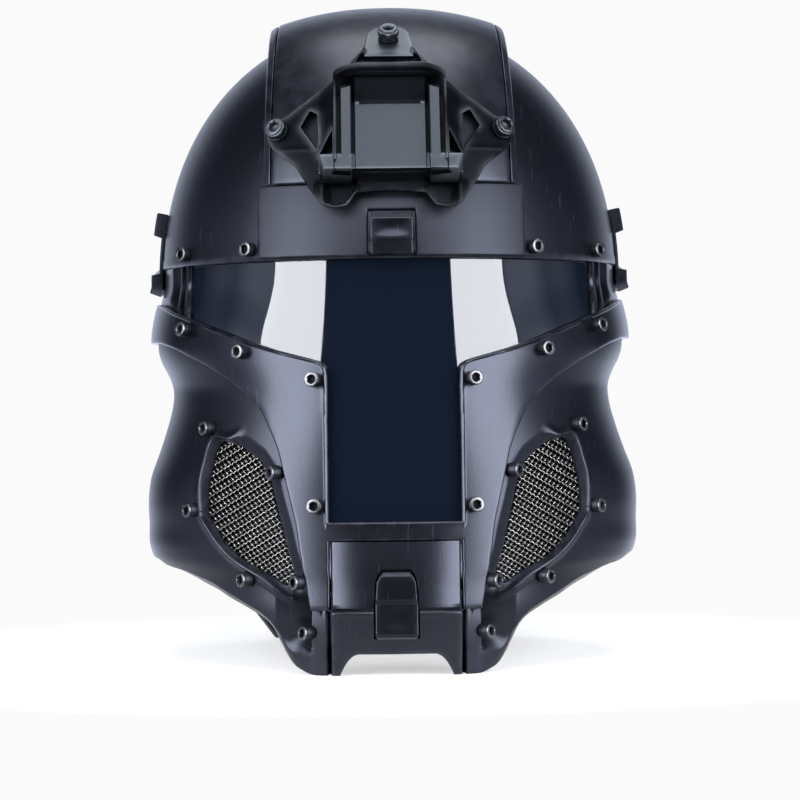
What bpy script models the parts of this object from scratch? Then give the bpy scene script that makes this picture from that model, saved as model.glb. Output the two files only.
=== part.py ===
"""Full-face tactical helmet with a T-shaped visor, at its real size.

Metres, +Z up. The face looks along -Y, and X = 0 is the plane of symmetry. The helmet stands on the
two tips of its chin and on the flat rim at its nape, both at Z = 0. All its plastic pieces lie on
one curved skin, given below by its horizontal sections, and each piece is a patch of that skin at
its own depth.
"""

import math

import bmesh
import bpy
import numpy as np
from mathutils import Matrix, Vector

# Crown: a superellipsoid above its widest level.
CROWN_BASE_Z = 0.205
CROWN_HEIGHT = 0.144
CROWN_HALF_WIDTH = 0.1255
CROWN_CENTRE_Y = 0.0035
# All sizes below are from the middle of the head. This puts the middle of the whole box at Y = 0.
BOX_SHIFT_Y = 0.0064
CROWN_FRONT = 0.142
CROWN_BACK = 0.145
ROUNDNESS = 2.15

# Skin below the crown's widest level, one row for each height:
# height, half width, front y, y of the widest place, rear y.
SKIN_SECTIONS = (
    (-0.010, 0.1110, -0.1420, -0.0315, 0.1390),
    (0.000, 0.1130, -0.1440, -0.0315, 0.1385),
    (0.033, 0.1230, -0.1510, -0.0315, 0.1370),
    (0.048, 0.1281, -0.1508, -0.0315, 0.1370),
    (0.055, 0.1335, -0.1505, -0.0315, 0.1375),
    (0.062, 0.1360, -0.1500, -0.0315, 0.1380),
    (0.075, 0.1365, -0.1490, -0.0310, 0.1390),
    (0.088, 0.1368, -0.1480, -0.0305, 0.1405),
    (0.101, 0.1352, -0.1470, -0.0285, 0.1420),
    (0.114, 0.1307, -0.1460, -0.0255, 0.1435),
    (0.127, 0.1266, -0.1450, -0.0210, 0.1450),
    (0.140, 0.1236, -0.1440, -0.0160, 0.1460),
    (0.147, 0.1234, -0.1435, -0.0130, 0.1465),
    (0.154, 0.1262, -0.1428, -0.0095, 0.1470),
    (0.160, 0.1295, -0.1420, -0.0070, 0.1475),
    (0.167, 0.1318, -0.1412, -0.0045, 0.1478),
    (0.175, 0.1322, -0.1402, -0.0025, 0.1480),
    (0.190, 0.1300, -0.1389, 0.0010, 0.1484),
    (CROWN_BASE_Z, CROWN_HALF_WIDTH, CROWN_CENTRE_Y - CROWN_FRONT, CROWN_CENTRE_Y, CROWN_CENTRE_Y + CROWN_BACK),
)

# Depths of the layers under the skin.
SHELL_WALL = 0.0031
PLATE_WALL = 0.0033
LAYER_GAP = 0.0007
INNER_LAYER = PLATE_WALL + LAYER_GAP
GUARD_WALL = 0.0030
LENS_WALL = 0.0022
MESH_DEPTH = INNER_LAYER + GUARD_WALL + LAYER_GAP
MESH_WALL = 0.0012

# Crown shell: its rim over the face, the seam to the cheek guards, and its nape.
RIM_Z = 0.2128
SEAM_TOP = (99.0, 0.196)
SEAM_FOOT = (118.0, 0.050)
NAPE_TURN = (131.0, 0.030)
NAPE_FLAT = (143.0, -0.003)

# Face plate, right half, one row for each rib across it: opening x, z, outer edge x, z.
PLATE_ROWS = (
    (0.1245, 0.1938, 0.1250, 0.1722),
    (0.1160, 0.1886, 0.1168, 0.1693),
    (0.0975, 0.1806, 0.0992, 0.1603),
    (0.0794, 0.1733, 0.0860, 0.1520),
    (0.0610, 0.1670, 0.0770, 0.1448),
    (0.0450, 0.1627, 0.0705, 0.1385),
    (0.0385, 0.1611, 0.0675, 0.1335),
    (0.0353, 0.1593, 0.0655, 0.1285),
    (0.0342, 0.1560, 0.0640, 0.1235),
    (0.0342, 0.1150, 0.0612, 0.1150),
    (0.0341, 0.0950, 0.0565, 0.0950),
    (0.0341, 0.0785, 0.0525, 0.0785),
    (0.0341, 0.0690, 0.0512, 0.0690),
    (0.0341, 0.0336, 0.0452, 0.0336),
)
PLATE_REAR = (98.0, 0.1960, 0.1725)
STEM_FOOT_Z = 0.0785
CROSSBAR_FOOT_Z = 0.0690
CHIN_HALF_WIDTH = 0.0330

# Lens.
LENS_TOP_Z = 0.2215
LENS_END_X = 0.1045
LENS_OVERLAP = 0.0050

# Temples: the posts at the ends of the lens.
TEMPLE_FRONT_X = 0.1062
TEMPLE_FOOT_Z = 0.1835
TEMPLE_TOP_Z = 0.2215

# Cheek guard, right: lower rim x, z, edge under the face plate x, z, from the chin to the side.
GUARD_ROWS = (
    (0.0346, 0.0000, 0.0346, 0.0322),
    (0.0440, 0.0012, 0.0402, 0.0340),
    (0.0522, 0.0038, 0.0430, 0.0500),
    (0.0590, 0.0085, 0.0455, 0.0620),
    (0.0622, 0.0130, 0.0480, 0.0740),
    (0.0660, 0.0220, 0.0500, 0.0830),
    (0.0700, 0.0265, 0.0520, 0.0920),
    (0.0824, 0.0335, 0.0548, 0.1080),
    (0.0964, 0.0410, 0.0595, 0.1270),
    (0.1090, 0.0455, 0.0665, 0.1420),
    (0.1185, 0.0485, 0.0800, 0.1550),
)
# The same behind the widest place: rim angle, z, upper edge angle, z.
GUARD_REAR = ((76.0, 0.0500, 54.0, 0.1655), (90.0, 0.0515, 75.0, 0.1760), (104.0, 0.0515, 90.0, 0.1785),
              (117.3, 0.0505, 100.6, 0.1780))
VENT = (
    (0.0925, 0.1215),
    (0.0807, 0.1181),
    (0.0703, 0.1105),
    (0.0650, 0.1029),
    (0.0614, 0.0858),
    (0.0577, 0.0719),
    (0.0529, 0.0547),
    (0.0520, 0.0468),
    (0.0572, 0.0451),
    (0.0713, 0.0532),
    (0.0837, 0.0610),
    (0.0921, 0.0700),
    (0.0995, 0.0811),
    (0.0999, 0.0930),
    (0.0976, 0.1065),
    (0.0950, 0.1165),
)
VENT_MARGIN = 1.07

# Chin panel: height, how far its face stands out from the skin.
CHIN_PROFILE = (
    (0.0000, 0.0020),
    (0.0110, 0.0040),
    (0.0210, 0.0052),
    (0.0312, 0.0060),
    (0.0346, 0.0022),
    (0.0460, 0.0014),
    (0.0684, 0.0004),
)
CHIN_WALL = 0.0095
CHIN_ARCH = ((0.0206, 0.0108), (0.0245, 0.0085), (0.0272, 0.0048), (0.0290, -0.0020))

# Raised band over the crown, with the plate under it on the brow and the strips on its sides.
BAND_HEIGHT = 0.1526
BAND_REACH = 0.1475
BAND_FLATNESS = (0.1235, 0.1563)
BAND_FRONT_Z = 0.2522
BAND_HALF_WIDTHS = (0.0622, 0.0590)
STRIP_OUTER_WIDTHS = (0.0660, 0.0634)
BROW_HALF_WIDTH = 0.0690
BROW_PROUD = 0.0028
BROW_TOP_Z = 0.2518
BROW_FOOT_Z = 0.2140
GAP = 0.0004
SEAT_GAP = 0.0008

# Screws: x and z of the middle of each head, seen from the front.
PLATE_SCREWS = ((0.1120, 0.1792), (0.0810, 0.1663), (0.0421, 0.1514), (0.0416, 0.0869))
GUARD_SCREWS = (
    (0.0999, 0.1268),
    (0.0646, 0.1039),
    (0.1087, 0.0842),
    (0.0803, 0.0490),
    (0.0530, 0.0480),
    (0.0486, 0.0223),
)
RIM_SCREWS = ((0.1120, 0.2190), (0.0764, 0.2192))
SCREW_HEAD = 0.0039
SCREW_HEIGHT = 0.0052
SOCKET = 0.0019

# Side rails: angle, foot z, top z.
RAIL_SECTIONS = ((84.0, 0.1985, 0.2440), (92.0, 0.2000, 0.2445), (104.0, 0.2090, 0.2450), (118.0, 0.2200, 0.2440),
                 (126.0, 0.2260, 0.2400))
RAIL_WALL = 0.0062
RAIL_GROOVE_SHARE = 0.46
RAIL_GROOVE_DEPTH = 0.0044

# Mount for a night-vision device.
SHROUD_WALL = 0.0040
SHROUD_TILT = math.radians(29.0)
SHROUD_OUTLINE = (
    (0.0000, 0.3385),
    (0.0070, 0.3380),
    (0.0110, 0.3345),
    (0.0132, 0.3245),
    (0.0290, 0.3065),
    (0.0545, 0.2868),
    (0.0600, 0.2858),
    (0.0636, 0.2822),
    (0.0636, 0.2760),
    (0.0610, 0.2705),
    (0.0489, 0.2606),
    (0.0416, 0.2484),
    (0.0360, 0.2406),
    (0.0290, 0.2384),
    (0.0226, 0.2394),
    (0.0179, 0.2461),
    (0.0000, 0.2468),
)
SHROUD_TOP_WINDOW = ((0.0000, 0.3190), (0.0125, 0.3190), (0.0170, 0.3135), (0.0000, 0.3135))
SHROUD_SIDE_WINDOW = ((0.0365, 0.2900), (0.0375, 0.2690), (0.0485, 0.2690))
SHROUD_CENTRE = (0.0, -0.1262, 0.2815)
SHROUD_FRAME = (0.0291, 0.0153, 0.0590)
SHROUD_ROOT = 0.0060
SHROUD_FLOOR = -0.0042
SHROUD_SOCKET = (0.0195, 0.0255)
SHROUD_STEP = (0.0258, 0.0165, 0.0022)
SHROUD_GUSSET = ((0.0280, 0.2790), (0.0385, 0.2610), (0.0385, 0.2560), (0.0280, 0.2560))
SHROUD_BOLTS = (
    ("shroud_bolt_top", 0.0, 0.3310),
    ("shroud_bolt_R", 0.0577, 0.2795),
    ("shroud_bolt_L", -0.0577, 0.2795),
)
BOLT_HEAD = 0.0055
BOLT_HEIGHT = 0.0062

# Snap levers, one row for each height: z, half width, face y, back y.
CHIN_LATCH = (
    (0.0196, 0.0098, -0.1592, -0.1550),
    (0.0208, 0.0106, -0.1608, -0.1536),
    (0.0222, 0.0108, -0.1612, -0.1536),
    (0.0372, 0.0108, -0.1606, -0.1536),
    (0.0386, 0.0106, -0.1580, -0.1500),
    (0.0394, 0.0106, -0.1532, -0.1490),
    (0.0480, 0.0100, -0.1528, -0.1484),
    (0.0512, 0.0084, -0.1525, -0.1484),
    (0.0530, 0.0072, -0.1516, -0.1494),
)
CHIN_LATCH_AXIS = (0.0, -0.1505, 0.0505)
CHIN_POCKETS = (
    ((-0.0122, -0.1700, 0.0320), (0.0122, -0.1452, 0.0560)),
    ((-0.0118, -0.1700, 0.0185), (0.0118, -0.1530, 0.0335)),
)
BROW_LATCH = (
    (0.2140, 0.0100, -0.1446, -0.1412),
    (0.2150, 0.0107, -0.1462, -0.1400),
    (0.2212, 0.0107, -0.1462, -0.1400),
    (0.2226, 0.0109, -0.1440, -0.1396),
    (0.2330, 0.0109, -0.1434, -0.1390),
    (0.2362, 0.0106, -0.1420, -0.1396),
)
BROW_LATCH_AXIS = (0.0, -0.1408, 0.2345)
BROW_NOTCH = ((-0.0122, -0.1500, 0.2100), (0.0122, -0.1300, 0.2378))

# Colour, roughness and metallic value of each finish.
FINISHES = {
    "shell_black": ((0.020, 0.021, 0.026), 0.42, 0.0),
    "plate_black": ((0.017, 0.018, 0.022), 0.38, 0.0),
    "lens_smoke": ((0.010, 0.014, 0.024), 0.06, 0.0),
    "shroud_black": ((0.015, 0.016, 0.019), 0.45, 0.3),
    "wire_steel": ((0.420, 0.410, 0.400), 0.35, 1.0),
    "screw_steel": ((0.300, 0.300, 0.310), 0.30, 1.0),
}


def clear_scene():
    for thing in list(bpy.data.objects):
        bpy.data.objects.remove(thing, do_unlink=True)


def make_collection(name, hidden=False):
    collection = bpy.data.collections.new(name)
    bpy.context.scene.collection.children.link(collection)
    collection.hide_render = hidden
    return collection


clear_scene()
HELMET = make_collection("helmet")
CUTTERS = make_collection("cutters", hidden=True)


def finish(name):
    """The Principled material of one finish, made on its first use."""
    material = bpy.data.materials.get(name)
    if material is None:
        colour, roughness, metallic = FINISHES[name]
        material = bpy.data.materials.new(name)
        material.use_nodes = True
        shader = material.node_tree.nodes["Principled BSDF"]
        shader.inputs["Base Color"].default_value = (*colour, 1.0)
        shader.inputs["Roughness"].default_value = roughness
        shader.inputs["Metallic"].default_value = metallic
    return material


def smooth_table(rows, at):
    """Each column of the table at the values in `at`, by a smooth cubic that ends level."""
    rows = np.asarray(rows, float)
    at = np.clip(np.asarray(at, float), rows[0, 0], rows[-1, 0])
    slopes = np.gradient(rows[:, 1:], rows[:, 0], axis=0)
    slopes[-1] = 0.0
    low = np.clip(np.searchsorted(rows[:, 0], at, side="right") - 1, 0, len(rows) - 2)
    step = rows[low + 1, 0] - rows[low, 0]
    t = ((at - rows[low, 0]) / step)[..., None]
    step = step[..., None]
    return (
        (1 + 2 * t) * (1 - t) ** 2 * rows[low, 1:]
        + t * (1 - t) ** 2 * step * slopes[low]
        + t * t * (3 - 2 * t) * rows[low + 1, 1:]
        + t * t * (t - 1) * step * slopes[low + 1]
    )


def sections_at(z):
    """Half width, front y, centre y and rear y of the skin at each height."""
    z = np.asarray(z, float)
    low = smooth_table(SKIN_SECTIONS, z)
    rise = np.clip((z - CROWN_BASE_Z) / CROWN_HEIGHT, 0.0, 1.0)
    shrink = (1 - rise**ROUNDNESS) ** (1 / ROUNDNESS)
    high = np.stack(
        [
            CROWN_HALF_WIDTH * shrink,
            CROWN_CENTRE_Y - CROWN_FRONT * shrink,
            np.full_like(shrink, CROWN_CENTRE_Y),
            CROWN_CENTRE_Y + CROWN_BACK * shrink,
        ],
        axis=-1,
    )
    return np.moveaxis(np.where((z > CROWN_BASE_Z)[..., None], high, low), -1, 0)


def skin_point(turn, z):
    """Point of the skin at an angle from the front, in radians, and a height."""
    half, front, centre, rear = sections_at(z)
    power = 2 / ROUNDNESS
    side, ahead = np.sin(turn), np.cos(turn)
    reach = np.where(ahead > 0, front - centre, rear - centre)
    x = half * np.sign(side) * np.abs(side) ** power
    y = centre + reach * np.abs(ahead) ** power
    return np.stack([x, y, np.broadcast_to(z, x.shape)], axis=-1)


def skin(turn, z, depth=0.0):
    """Point at a depth under the skin, measured along its normal. A depth below zero is outside."""
    turn, z = np.broadcast_arrays(np.asarray(turn, float), np.asarray(z, float))
    step_turn, step_z = 2e-3, 4e-4
    along = skin_point(turn + step_turn, z) - skin_point(turn - step_turn, z)
    up = skin_point(turn, z + step_z) - skin_point(turn, z - step_z)
    normal = np.cross(along, up)
    normal /= np.linalg.norm(normal, axis=-1, keepdims=True)
    return skin_point(turn, z) - normal * np.asarray(depth)[..., None]


def turn_at(x, z):
    """Angle from the front at which the skin reaches x."""
    half = sections_at(z)[0]
    share = np.clip(np.abs(x) / half, 0.0, 1.0)
    return np.sign(x) * np.arcsin(share ** (ROUNDNESS / 2))


def find_on_skin(x, z, depth=0.0):
    """Angle and height whose point at that depth is seen from the front at x, z."""
    aim_x, aim_z = np.asarray(x, float), np.asarray(z, float)
    try_x, try_z = aim_x.copy(), aim_z.copy()
    for _ in range(8):
        turn = turn_at(try_x, try_z)
        point = skin(turn, try_z, depth)
        try_x = try_x + aim_x - point[..., 0]
        try_z = try_z + aim_z - point[..., 2]
    return turn_at(try_x, try_z), try_z


def between(first, last, count):
    """Rows of points from one line to another."""
    share = np.linspace(0, 1, count)[:, None, None]
    return (1 - share) * np.asarray(first)[None] + share * np.asarray(last)[None]


def lattice_faces(rows, columns, start=0):
    faces = []
    for row in range(rows - 1):
        for column in range(columns - 1):
            low = start + row * columns + column
            faces.append((low, low + 1, low + columns + 1, low + columns))
    return faces


def make_object(name, points, faces, finish_name, collection=None):
    mesh = bpy.data.meshes.new(name)
    mesh.from_pydata([tuple(point) for point in points], [], faces)
    work = bmesh.new()
    work.from_mesh(mesh)
    bmesh.ops.remove_doubles(work, verts=work.verts, dist=2e-6)
    work.to_mesh(mesh)
    work.free()
    thing = bpy.data.objects.new(name, mesh)
    (collection or HELMET).objects.link(thing)
    if finish_name:
        mesh.materials.append(finish(finish_name))
    mesh.shade_smooth()
    mesh.set_sharp_from_angle(angle=math.radians(30))
    return thing


def add_wall(thing, wall):
    """Gives an open surface its wall, inwards from its face."""
    modifier = thing.modifiers.new("wall", "SOLIDIFY")
    modifier.thickness = wall
    modifier.offset = -1.0
    modifier.use_even_offset = True


def mirror_half(thing):
    modifier = thing.modifiers.new("other_half", "MIRROR")
    modifier.merge_threshold = 0.00001
    modifier.use_clip = True


def sheets(name, grids, wall, finish_name, mirrored=False):
    """One piece made of lattices that share edges, given a wall."""
    points, faces = [], []
    for grid in grids:
        rows, columns = grid.shape[:2]
        faces += lattice_faces(rows, columns, len(points))
        points += list(grid.reshape(-1, 3))
    thing = make_object(name, points, faces, finish_name)
    if mirrored:
        mirror_half(thing)
    add_wall(thing, wall)
    return thing


def closed_block(name, face, back, finish_name, collection=None):
    """A closed solid between two lattices of the same size."""
    rows, columns = face.shape[:2]
    count = rows * columns
    faces = lattice_faces(rows, columns)
    faces += [tuple(count + corner for corner in reversed(quad)) for quad in faces]
    rim = [(0, c) for c in range(columns)]
    rim += [(r, columns - 1) for r in range(1, rows)]
    rim += [(rows - 1, c) for c in range(columns - 2, -1, -1)]
    rim += [(r, 0) for r in range(rows - 2, 0, -1)]
    order = [row * columns + column for row, column in rim]
    for first, second in zip(order, order[1:] + order[:1]):
        faces.append((first, count + first, count + second, second))
    points = list(face.reshape(-1, 3)) + list(back.reshape(-1, 3))
    return make_object(name, points, faces, finish_name, collection)


def flip_side(thing, name):
    """The left copy of a right-hand piece, as an object of its own."""
    mesh = thing.data.copy()
    mesh.transform(Matrix.Scale(-1, 4, (1, 0, 0)))
    mesh.flip_normals()
    twin = bpy.data.objects.new(name, mesh)
    HELMET.objects.link(twin)
    for modifier in thing.modifiers:
        copy = twin.modifiers.new(modifier.name, modifier.type)
        if modifier.type == "SOLIDIFY":
            copy.thickness = modifier.thickness
            copy.offset = modifier.offset
            copy.use_even_offset = modifier.use_even_offset
    return twin


def bake(thing):
    """Replaces an object's mesh by what its modifiers make of it."""
    graph = bpy.context.evaluated_depsgraph_get()
    mesh = bpy.data.meshes.new_from_object(thing.evaluated_get(graph))
    thing.modifiers.clear()
    thing.data = mesh
    return thing


def prism(name, outline, y_front, y_back, both_sides=False):
    """A cutter: an outline seen from the front, extruded along Y."""
    outline = list(outline)
    if both_sides:
        outline += [(-x, z) for x, z in reversed(outline) if x > 0]
    count = len(outline)
    points = [(x, y_front, z) for x, z in outline] + [(x, y_back, z) for x, z in outline]
    faces = [tuple(range(count)), tuple(reversed(range(count, 2 * count)))]
    faces += [(i, count + i, count + (i + 1) % count, (i + 1) % count) for i in range(count)]
    thing = make_object(name, points, faces, None, CUTTERS)
    return right_way_out(thing)


def right_way_out(thing):
    work = bmesh.new()
    work.from_mesh(thing.data)
    bmesh.ops.recalc_face_normals(work, faces=work.faces)
    work.to_mesh(thing.data)
    work.free()
    thing.display_type = "WIRE"
    thing.hide_render = True
    return thing


def box(name, low, high, turn=0.0, pivot=(0.0, 0.0, 0.0)):
    """A box between two corners, turned about X at a pivot, used as a cutter or to join."""
    mesh = bpy.data.meshes.new(name)
    work = bmesh.new()
    size = Vector(high) - Vector(low)
    place = Matrix.Translation((Vector(high) + Vector(low)) / 2) @ Matrix.Diagonal((*size, 1.0))
    bmesh.ops.create_cube(work, size=1.0, matrix=place)
    work.to_mesh(mesh)
    work.free()
    pivot = Vector(pivot)
    mesh.transform(Matrix.Translation(pivot) @ Matrix.Rotation(turn, 4, "X") @ Matrix.Translation(-pivot))
    thing = bpy.data.objects.new(name, mesh)
    CUTTERS.objects.link(thing)
    thing.display_type = "WIRE"
    thing.hide_render = True
    return thing


def combine(thing, other, operation):
    modifier = thing.modifiers.new(f"{operation.lower()}_{other.name}", "BOOLEAN")
    modifier.operation = operation
    modifier.object = other
    modifier.solver = "EXACT"
    return thing


def crown_layer(x, rise_angle, proud, flat_half):
    """Point of a superellipsoid over the crown: the angle runs from the brow over the top to the back."""
    shrink = (1 - (np.abs(x) / flat_half) ** ROUNDNESS) ** (1 / ROUNDNESS)
    ahead, up = np.cos(rise_angle), np.sin(rise_angle)
    power = 2 / ROUNDNESS
    reach = np.where(ahead > 0, CROWN_FRONT, CROWN_BACK) + proud[0]
    y = CROWN_CENTRE_Y - np.sign(ahead) * reach * shrink * np.abs(ahead) ** power
    z = CROWN_BASE_Z + (CROWN_HEIGHT + proud[1]) * shrink * np.abs(up) ** power
    return np.stack([x, y, z], axis=-1)


def angle_for_height(x, z, proud, flat_half):
    """The angle from the brow at which that layer reaches a height."""
    shrink = (1 - (np.abs(x) / flat_half) ** ROUNDNESS) ** (1 / ROUNDNESS)
    share = (z - CROWN_BASE_Z) / ((CROWN_HEIGHT + proud[1]) * shrink)
    return np.arcsin(np.clip(share, 0, 1) ** (ROUNDNESS / 2))


def lower_edge(turn):
    """Height of the crown shell's lower edge behind the ears, at an angle in degrees."""
    turn = np.abs(turn)
    corners = (SEAM_TOP, SEAM_FOOT, NAPE_TURN, NAPE_FLAT, (180.0, NAPE_FLAT[1]))
    return np.interp(turn, [corner[0] for corner in corners], [corner[1] for corner in corners])


def crown_shell():
    """The crown and, behind the ears, the skirt that covers the nape."""
    ahead = np.linspace(0, SEAM_TOP[0], 15)
    seam = np.linspace(SEAM_TOP[0], SEAM_FOOT[0], 7)[1:]
    flank = np.linspace(SEAM_FOOT[0], NAPE_FLAT[0], 6)[1:]
    nape = np.linspace(NAPE_FLAT[0], 180.0, 6)[1:]
    right = np.concatenate([ahead, seam, flank, nape])
    turns = np.concatenate([right, 360 - right[-2::-1]])
    rim_rise = math.asin(((RIM_Z - CROWN_BASE_Z) / CROWN_HEIGHT) ** (ROUNDNESS / 2))
    rise = np.linspace(rim_rise, math.pi / 2, 11)
    heights = CROWN_BASE_Z + CROWN_HEIGHT * np.sin(rise) ** (2 / ROUNDNESS)
    heights[0] = RIM_Z
    dome = skin_point(np.radians(turns)[None, :], heights[:, None])
    behind = turns[(turns >= SEAM_TOP[0] - 0.01) & (turns <= 360 - SEAM_TOP[0] + 0.01)]
    low = lower_edge(np.where(behind > 180, 360 - behind, behind))
    z = between(low[:, None], np.full((len(low), 1), RIM_Z), 8)[..., 0]
    sink = np.clip((RIM_Z - z) / (RIM_Z - 0.165), 0, 1)
    skirt = skin(np.radians(behind)[None, :], z, INNER_LAYER * sink * sink * (3 - 2 * sink))
    skirt[-1] = skin_point(np.radians(behind), np.full(len(behind), RIM_Z))
    shell = sheets("crown_shell", [dome, skirt], SHELL_WALL, "shell_black")
    ground = box("ground", (-0.2, 0.0, -0.02), (0.2, 0.2, 0.0))
    return combine(shell, ground, "DIFFERENCE")


def lofted(first, last, across, depth, most_step=0.0100):
    """Lattice at a depth between two lines of (angle, height), with rows added where they lie far apart."""
    first, last = np.asarray(first, float), np.asarray(last, float)
    lines = between(first, last, across).transpose(1, 0, 2)
    rows = [lines[0]]
    for before, after in zip(lines[:-1], lines[1:]):
        ends = skin_point(np.stack([before[:, 0], after[:, 0]]), np.stack([before[:, 1], after[:, 1]]))
        steps = max(1, math.ceil(np.linalg.norm(ends[1] - ends[0], axis=-1).max() / most_step))
        rows += [before + (after - before) * step / steps for step in range(1, steps + 1)]
    lines = np.array(rows)
    return skin(lines[..., 0], lines[..., 1], depth), lines


def lines_on_skin(rows, depth):
    """Turns a table of front-view pairs into two lines of (angle, height)."""
    rows = np.array(rows, float)
    first = np.stack(find_on_skin(rows[:, 0], rows[:, 1], depth), axis=1)
    last = np.stack(find_on_skin(rows[:, 2], rows[:, 3], depth), axis=1)
    return first, last


def face_plate():
    """The plate that clamps the lens: two wings, two legs and the bar under the stem."""
    opening, edge = lines_on_skin(PLATE_ROWS, 0.0)
    rear = math.radians(PLATE_REAR[0])
    opening = np.vstack([(rear, PLATE_REAR[1]), opening])
    edge = np.vstack([(rear, PLATE_REAR[2]), edge])
    wing, lines = lofted(opening, edge, 4, 0.0)
    inner = lines[:, 0]
    on_bar = inner[(inner[:, 1] < STEM_FOOT_Z + 1e-4) & (inner[:, 1] > CROSSBAR_FOOT_Z - 1e-4)]
    on_bar = on_bar[::-1]
    share = np.linspace(0, 1, 6)[None, :]
    bar = skin(on_bar[:, :1] * share, np.repeat(on_bar[:, 1:], 6, axis=1))
    return sheets("face_plate", [wing.transpose(1, 0, 2), bar], PLATE_WALL, "plate_black", mirrored=True)


def opening_edge(x):
    """Height of the visor opening's lower edge over the wings."""
    rows = np.array(PLATE_ROWS[:8])[::-1]
    return np.interp(x, rows[:, 0], rows[:, 1])


def visor_lens():
    """One sheet in the shape of a T, held between the crown's rim and the face plate."""
    stem_half = 0.0395
    wing_x = np.concatenate([np.linspace(0, stem_half, 6), np.linspace(stem_half, LENS_END_X, 10)[1:]])
    foot = np.where(wing_x <= stem_half, 0.1535, opening_edge(wing_x) - LENS_OVERLAP)
    z = between(foot[:, None], np.full((len(foot), 1), LENS_TOP_Z), 8)[..., 0]
    x = np.broadcast_to(wing_x, z.shape)
    turn, height = find_on_skin(x, z, INNER_LAYER)
    wings = skin(turn, height, INNER_LAYER)
    stem_x = wing_x[:6]
    z = np.repeat(np.linspace(STEM_FOOT_Z - LENS_OVERLAP, 0.1535, 11)[:, None], 6, axis=1)
    turn, height = find_on_skin(np.broadcast_to(stem_x, z.shape), z, INNER_LAYER)
    stem = skin(turn, height, INNER_LAYER)
    wings[0, :6] = stem[-1]
    return sheets("visor_lens", [wings, stem], LENS_WALL, "lens_smoke", mirrored=True)


def temple():
    """The post at the right end of the lens, with two upright ribs, running back under the wing."""
    z = np.linspace(TEMPLE_FOOT_Z, TEMPLE_TOP_Z, 7)[:, None]
    front = find_on_skin(np.full_like(z, TEMPLE_FRONT_X), z, INNER_LAYER)[0]
    share = np.linspace(0, 1, 8)[None, :]
    turn = front + (math.radians(PLATE_REAR[0]) - front) * share
    return sheets("temple_R", [skin(turn, z + 0 * turn, INNER_LAYER)], GUARD_WALL, "plate_black")


def cheek_guard():
    """The right cheek guard: it flares out over the jaw and has a vent beside the mouth."""
    rim, edge = lines_on_skin(GUARD_ROWS, INNER_LAYER)
    rear = np.array(GUARD_REAR)
    rim = np.vstack([rim, np.stack([np.radians(rear[:, 0]), rear[:, 1]], axis=1)])
    edge = np.vstack([edge, np.stack([np.radians(rear[:, 2]), rear[:, 3]], axis=1)])
    lattice, _ = lofted(rim, edge, 9, INNER_LAYER, 0.0110)
    guard = sheets("cheek_guard_R", [lattice.transpose(1, 0, 2)], GUARD_WALL, "shell_black")
    return combine(guard, prism("vent_cutter", VENT, -0.20, -0.06), "DIFFERENCE")


def vent_mesh():
    """The wire mesh behind the right vent, as a plain sheet."""
    x = np.linspace(0.040, 0.108, 9)[None, :] + np.zeros((8, 1))
    z = np.linspace(0.036, 0.132, 8)[:, None] + np.zeros((1, 9))
    turn, height = find_on_skin(x, z, MESH_DEPTH)
    sheet = sheets("vent_mesh_R", [skin(turn, height, MESH_DEPTH)], MESH_WALL, "wire_steel")
    middle = np.mean(VENT, axis=0)
    outline = [tuple(middle + (np.array(corner) - middle) * VENT_MARGIN) for corner in VENT]
    return combine(sheet, prism("mesh_outline", outline, -0.20, -0.06), "INTERSECT")


def chin_panel():
    """The block between the cheek guards: a raised lower half, a ledge, and the arch between its tips."""
    profile = np.array(CHIN_PROFILE)
    z = np.repeat(profile[:, :1], 11, axis=1)
    x = np.linspace(-CHIN_HALF_WIDTH, CHIN_HALF_WIDTH, 11)[None, :] + 0 * z
    turn, _ = find_on_skin(x, z, 0.0)
    face = skin(turn, z, -profile[:, 1:])
    face[..., 0], face[..., 2] = x, z
    back = skin(turn, z, CHIN_WALL)
    back[..., 0], back[..., 2] = x, z
    panel = closed_block("chin_panel", face, back, "plate_black")
    combine(panel, prism("chin_arch", reversed(CHIN_ARCH), -0.20, -0.10, both_sides=True), "DIFFERENCE")
    for number, corners in enumerate(CHIN_POCKETS):
        combine(panel, box(f"chin_pocket_{number}", *corners), "DIFFERENCE")
    return panel


def lever(name, rows, axis):
    """A snap lever lofted through level sections, with its origin on its hinge axis."""
    columns = np.array((-1.0, -0.4, 0.4, 1.0))
    face, back = [], []
    for z, half, y_face, y_back in rows:
        face.append([(half * share, y_face, z) for share in columns])
        back.append([(half * share, y_back, z) for share in columns])
    thing = closed_block(name, np.array(face), np.array(back), "plate_black")
    thing.data.transform(Matrix.Translation(-Vector(axis)))
    thing.location = axis
    return thing


def band_share(rise_angle):
    """1 at the band's ends, 0 over the top of the crown."""
    return np.cos(rise_angle) ** 2


def band_layer(x, rise_angle, over=0.0):
    """Point of the band's face, or of a layer over it."""
    share = band_share(rise_angle)
    flat_half = BAND_FLATNESS[1] + (BAND_FLATNESS[0] - BAND_FLATNESS[1]) * share
    proud = (BAND_REACH - CROWN_FRONT + over, BAND_HEIGHT - CROWN_HEIGHT + over)
    return crown_layer(x, rise_angle, proud, flat_half + over)


def band_angle(x, z, over=0.0):
    """Angle from the brow at which the band's face reaches a height, found by halving."""
    low, high = np.zeros(np.broadcast(x, z).shape), np.full(np.broadcast(x, z).shape, math.pi / 2)
    for _ in range(30):
        middle = (low + high) / 2
        below = band_layer(x, middle, over)[..., 2] < z
        low, high = np.where(below, middle, low), np.where(below, high, middle)
    return (low + high) / 2


def band_width(rise_angle, widths):
    return widths[1] + (widths[0] - widths[1]) * band_share(rise_angle)


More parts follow.
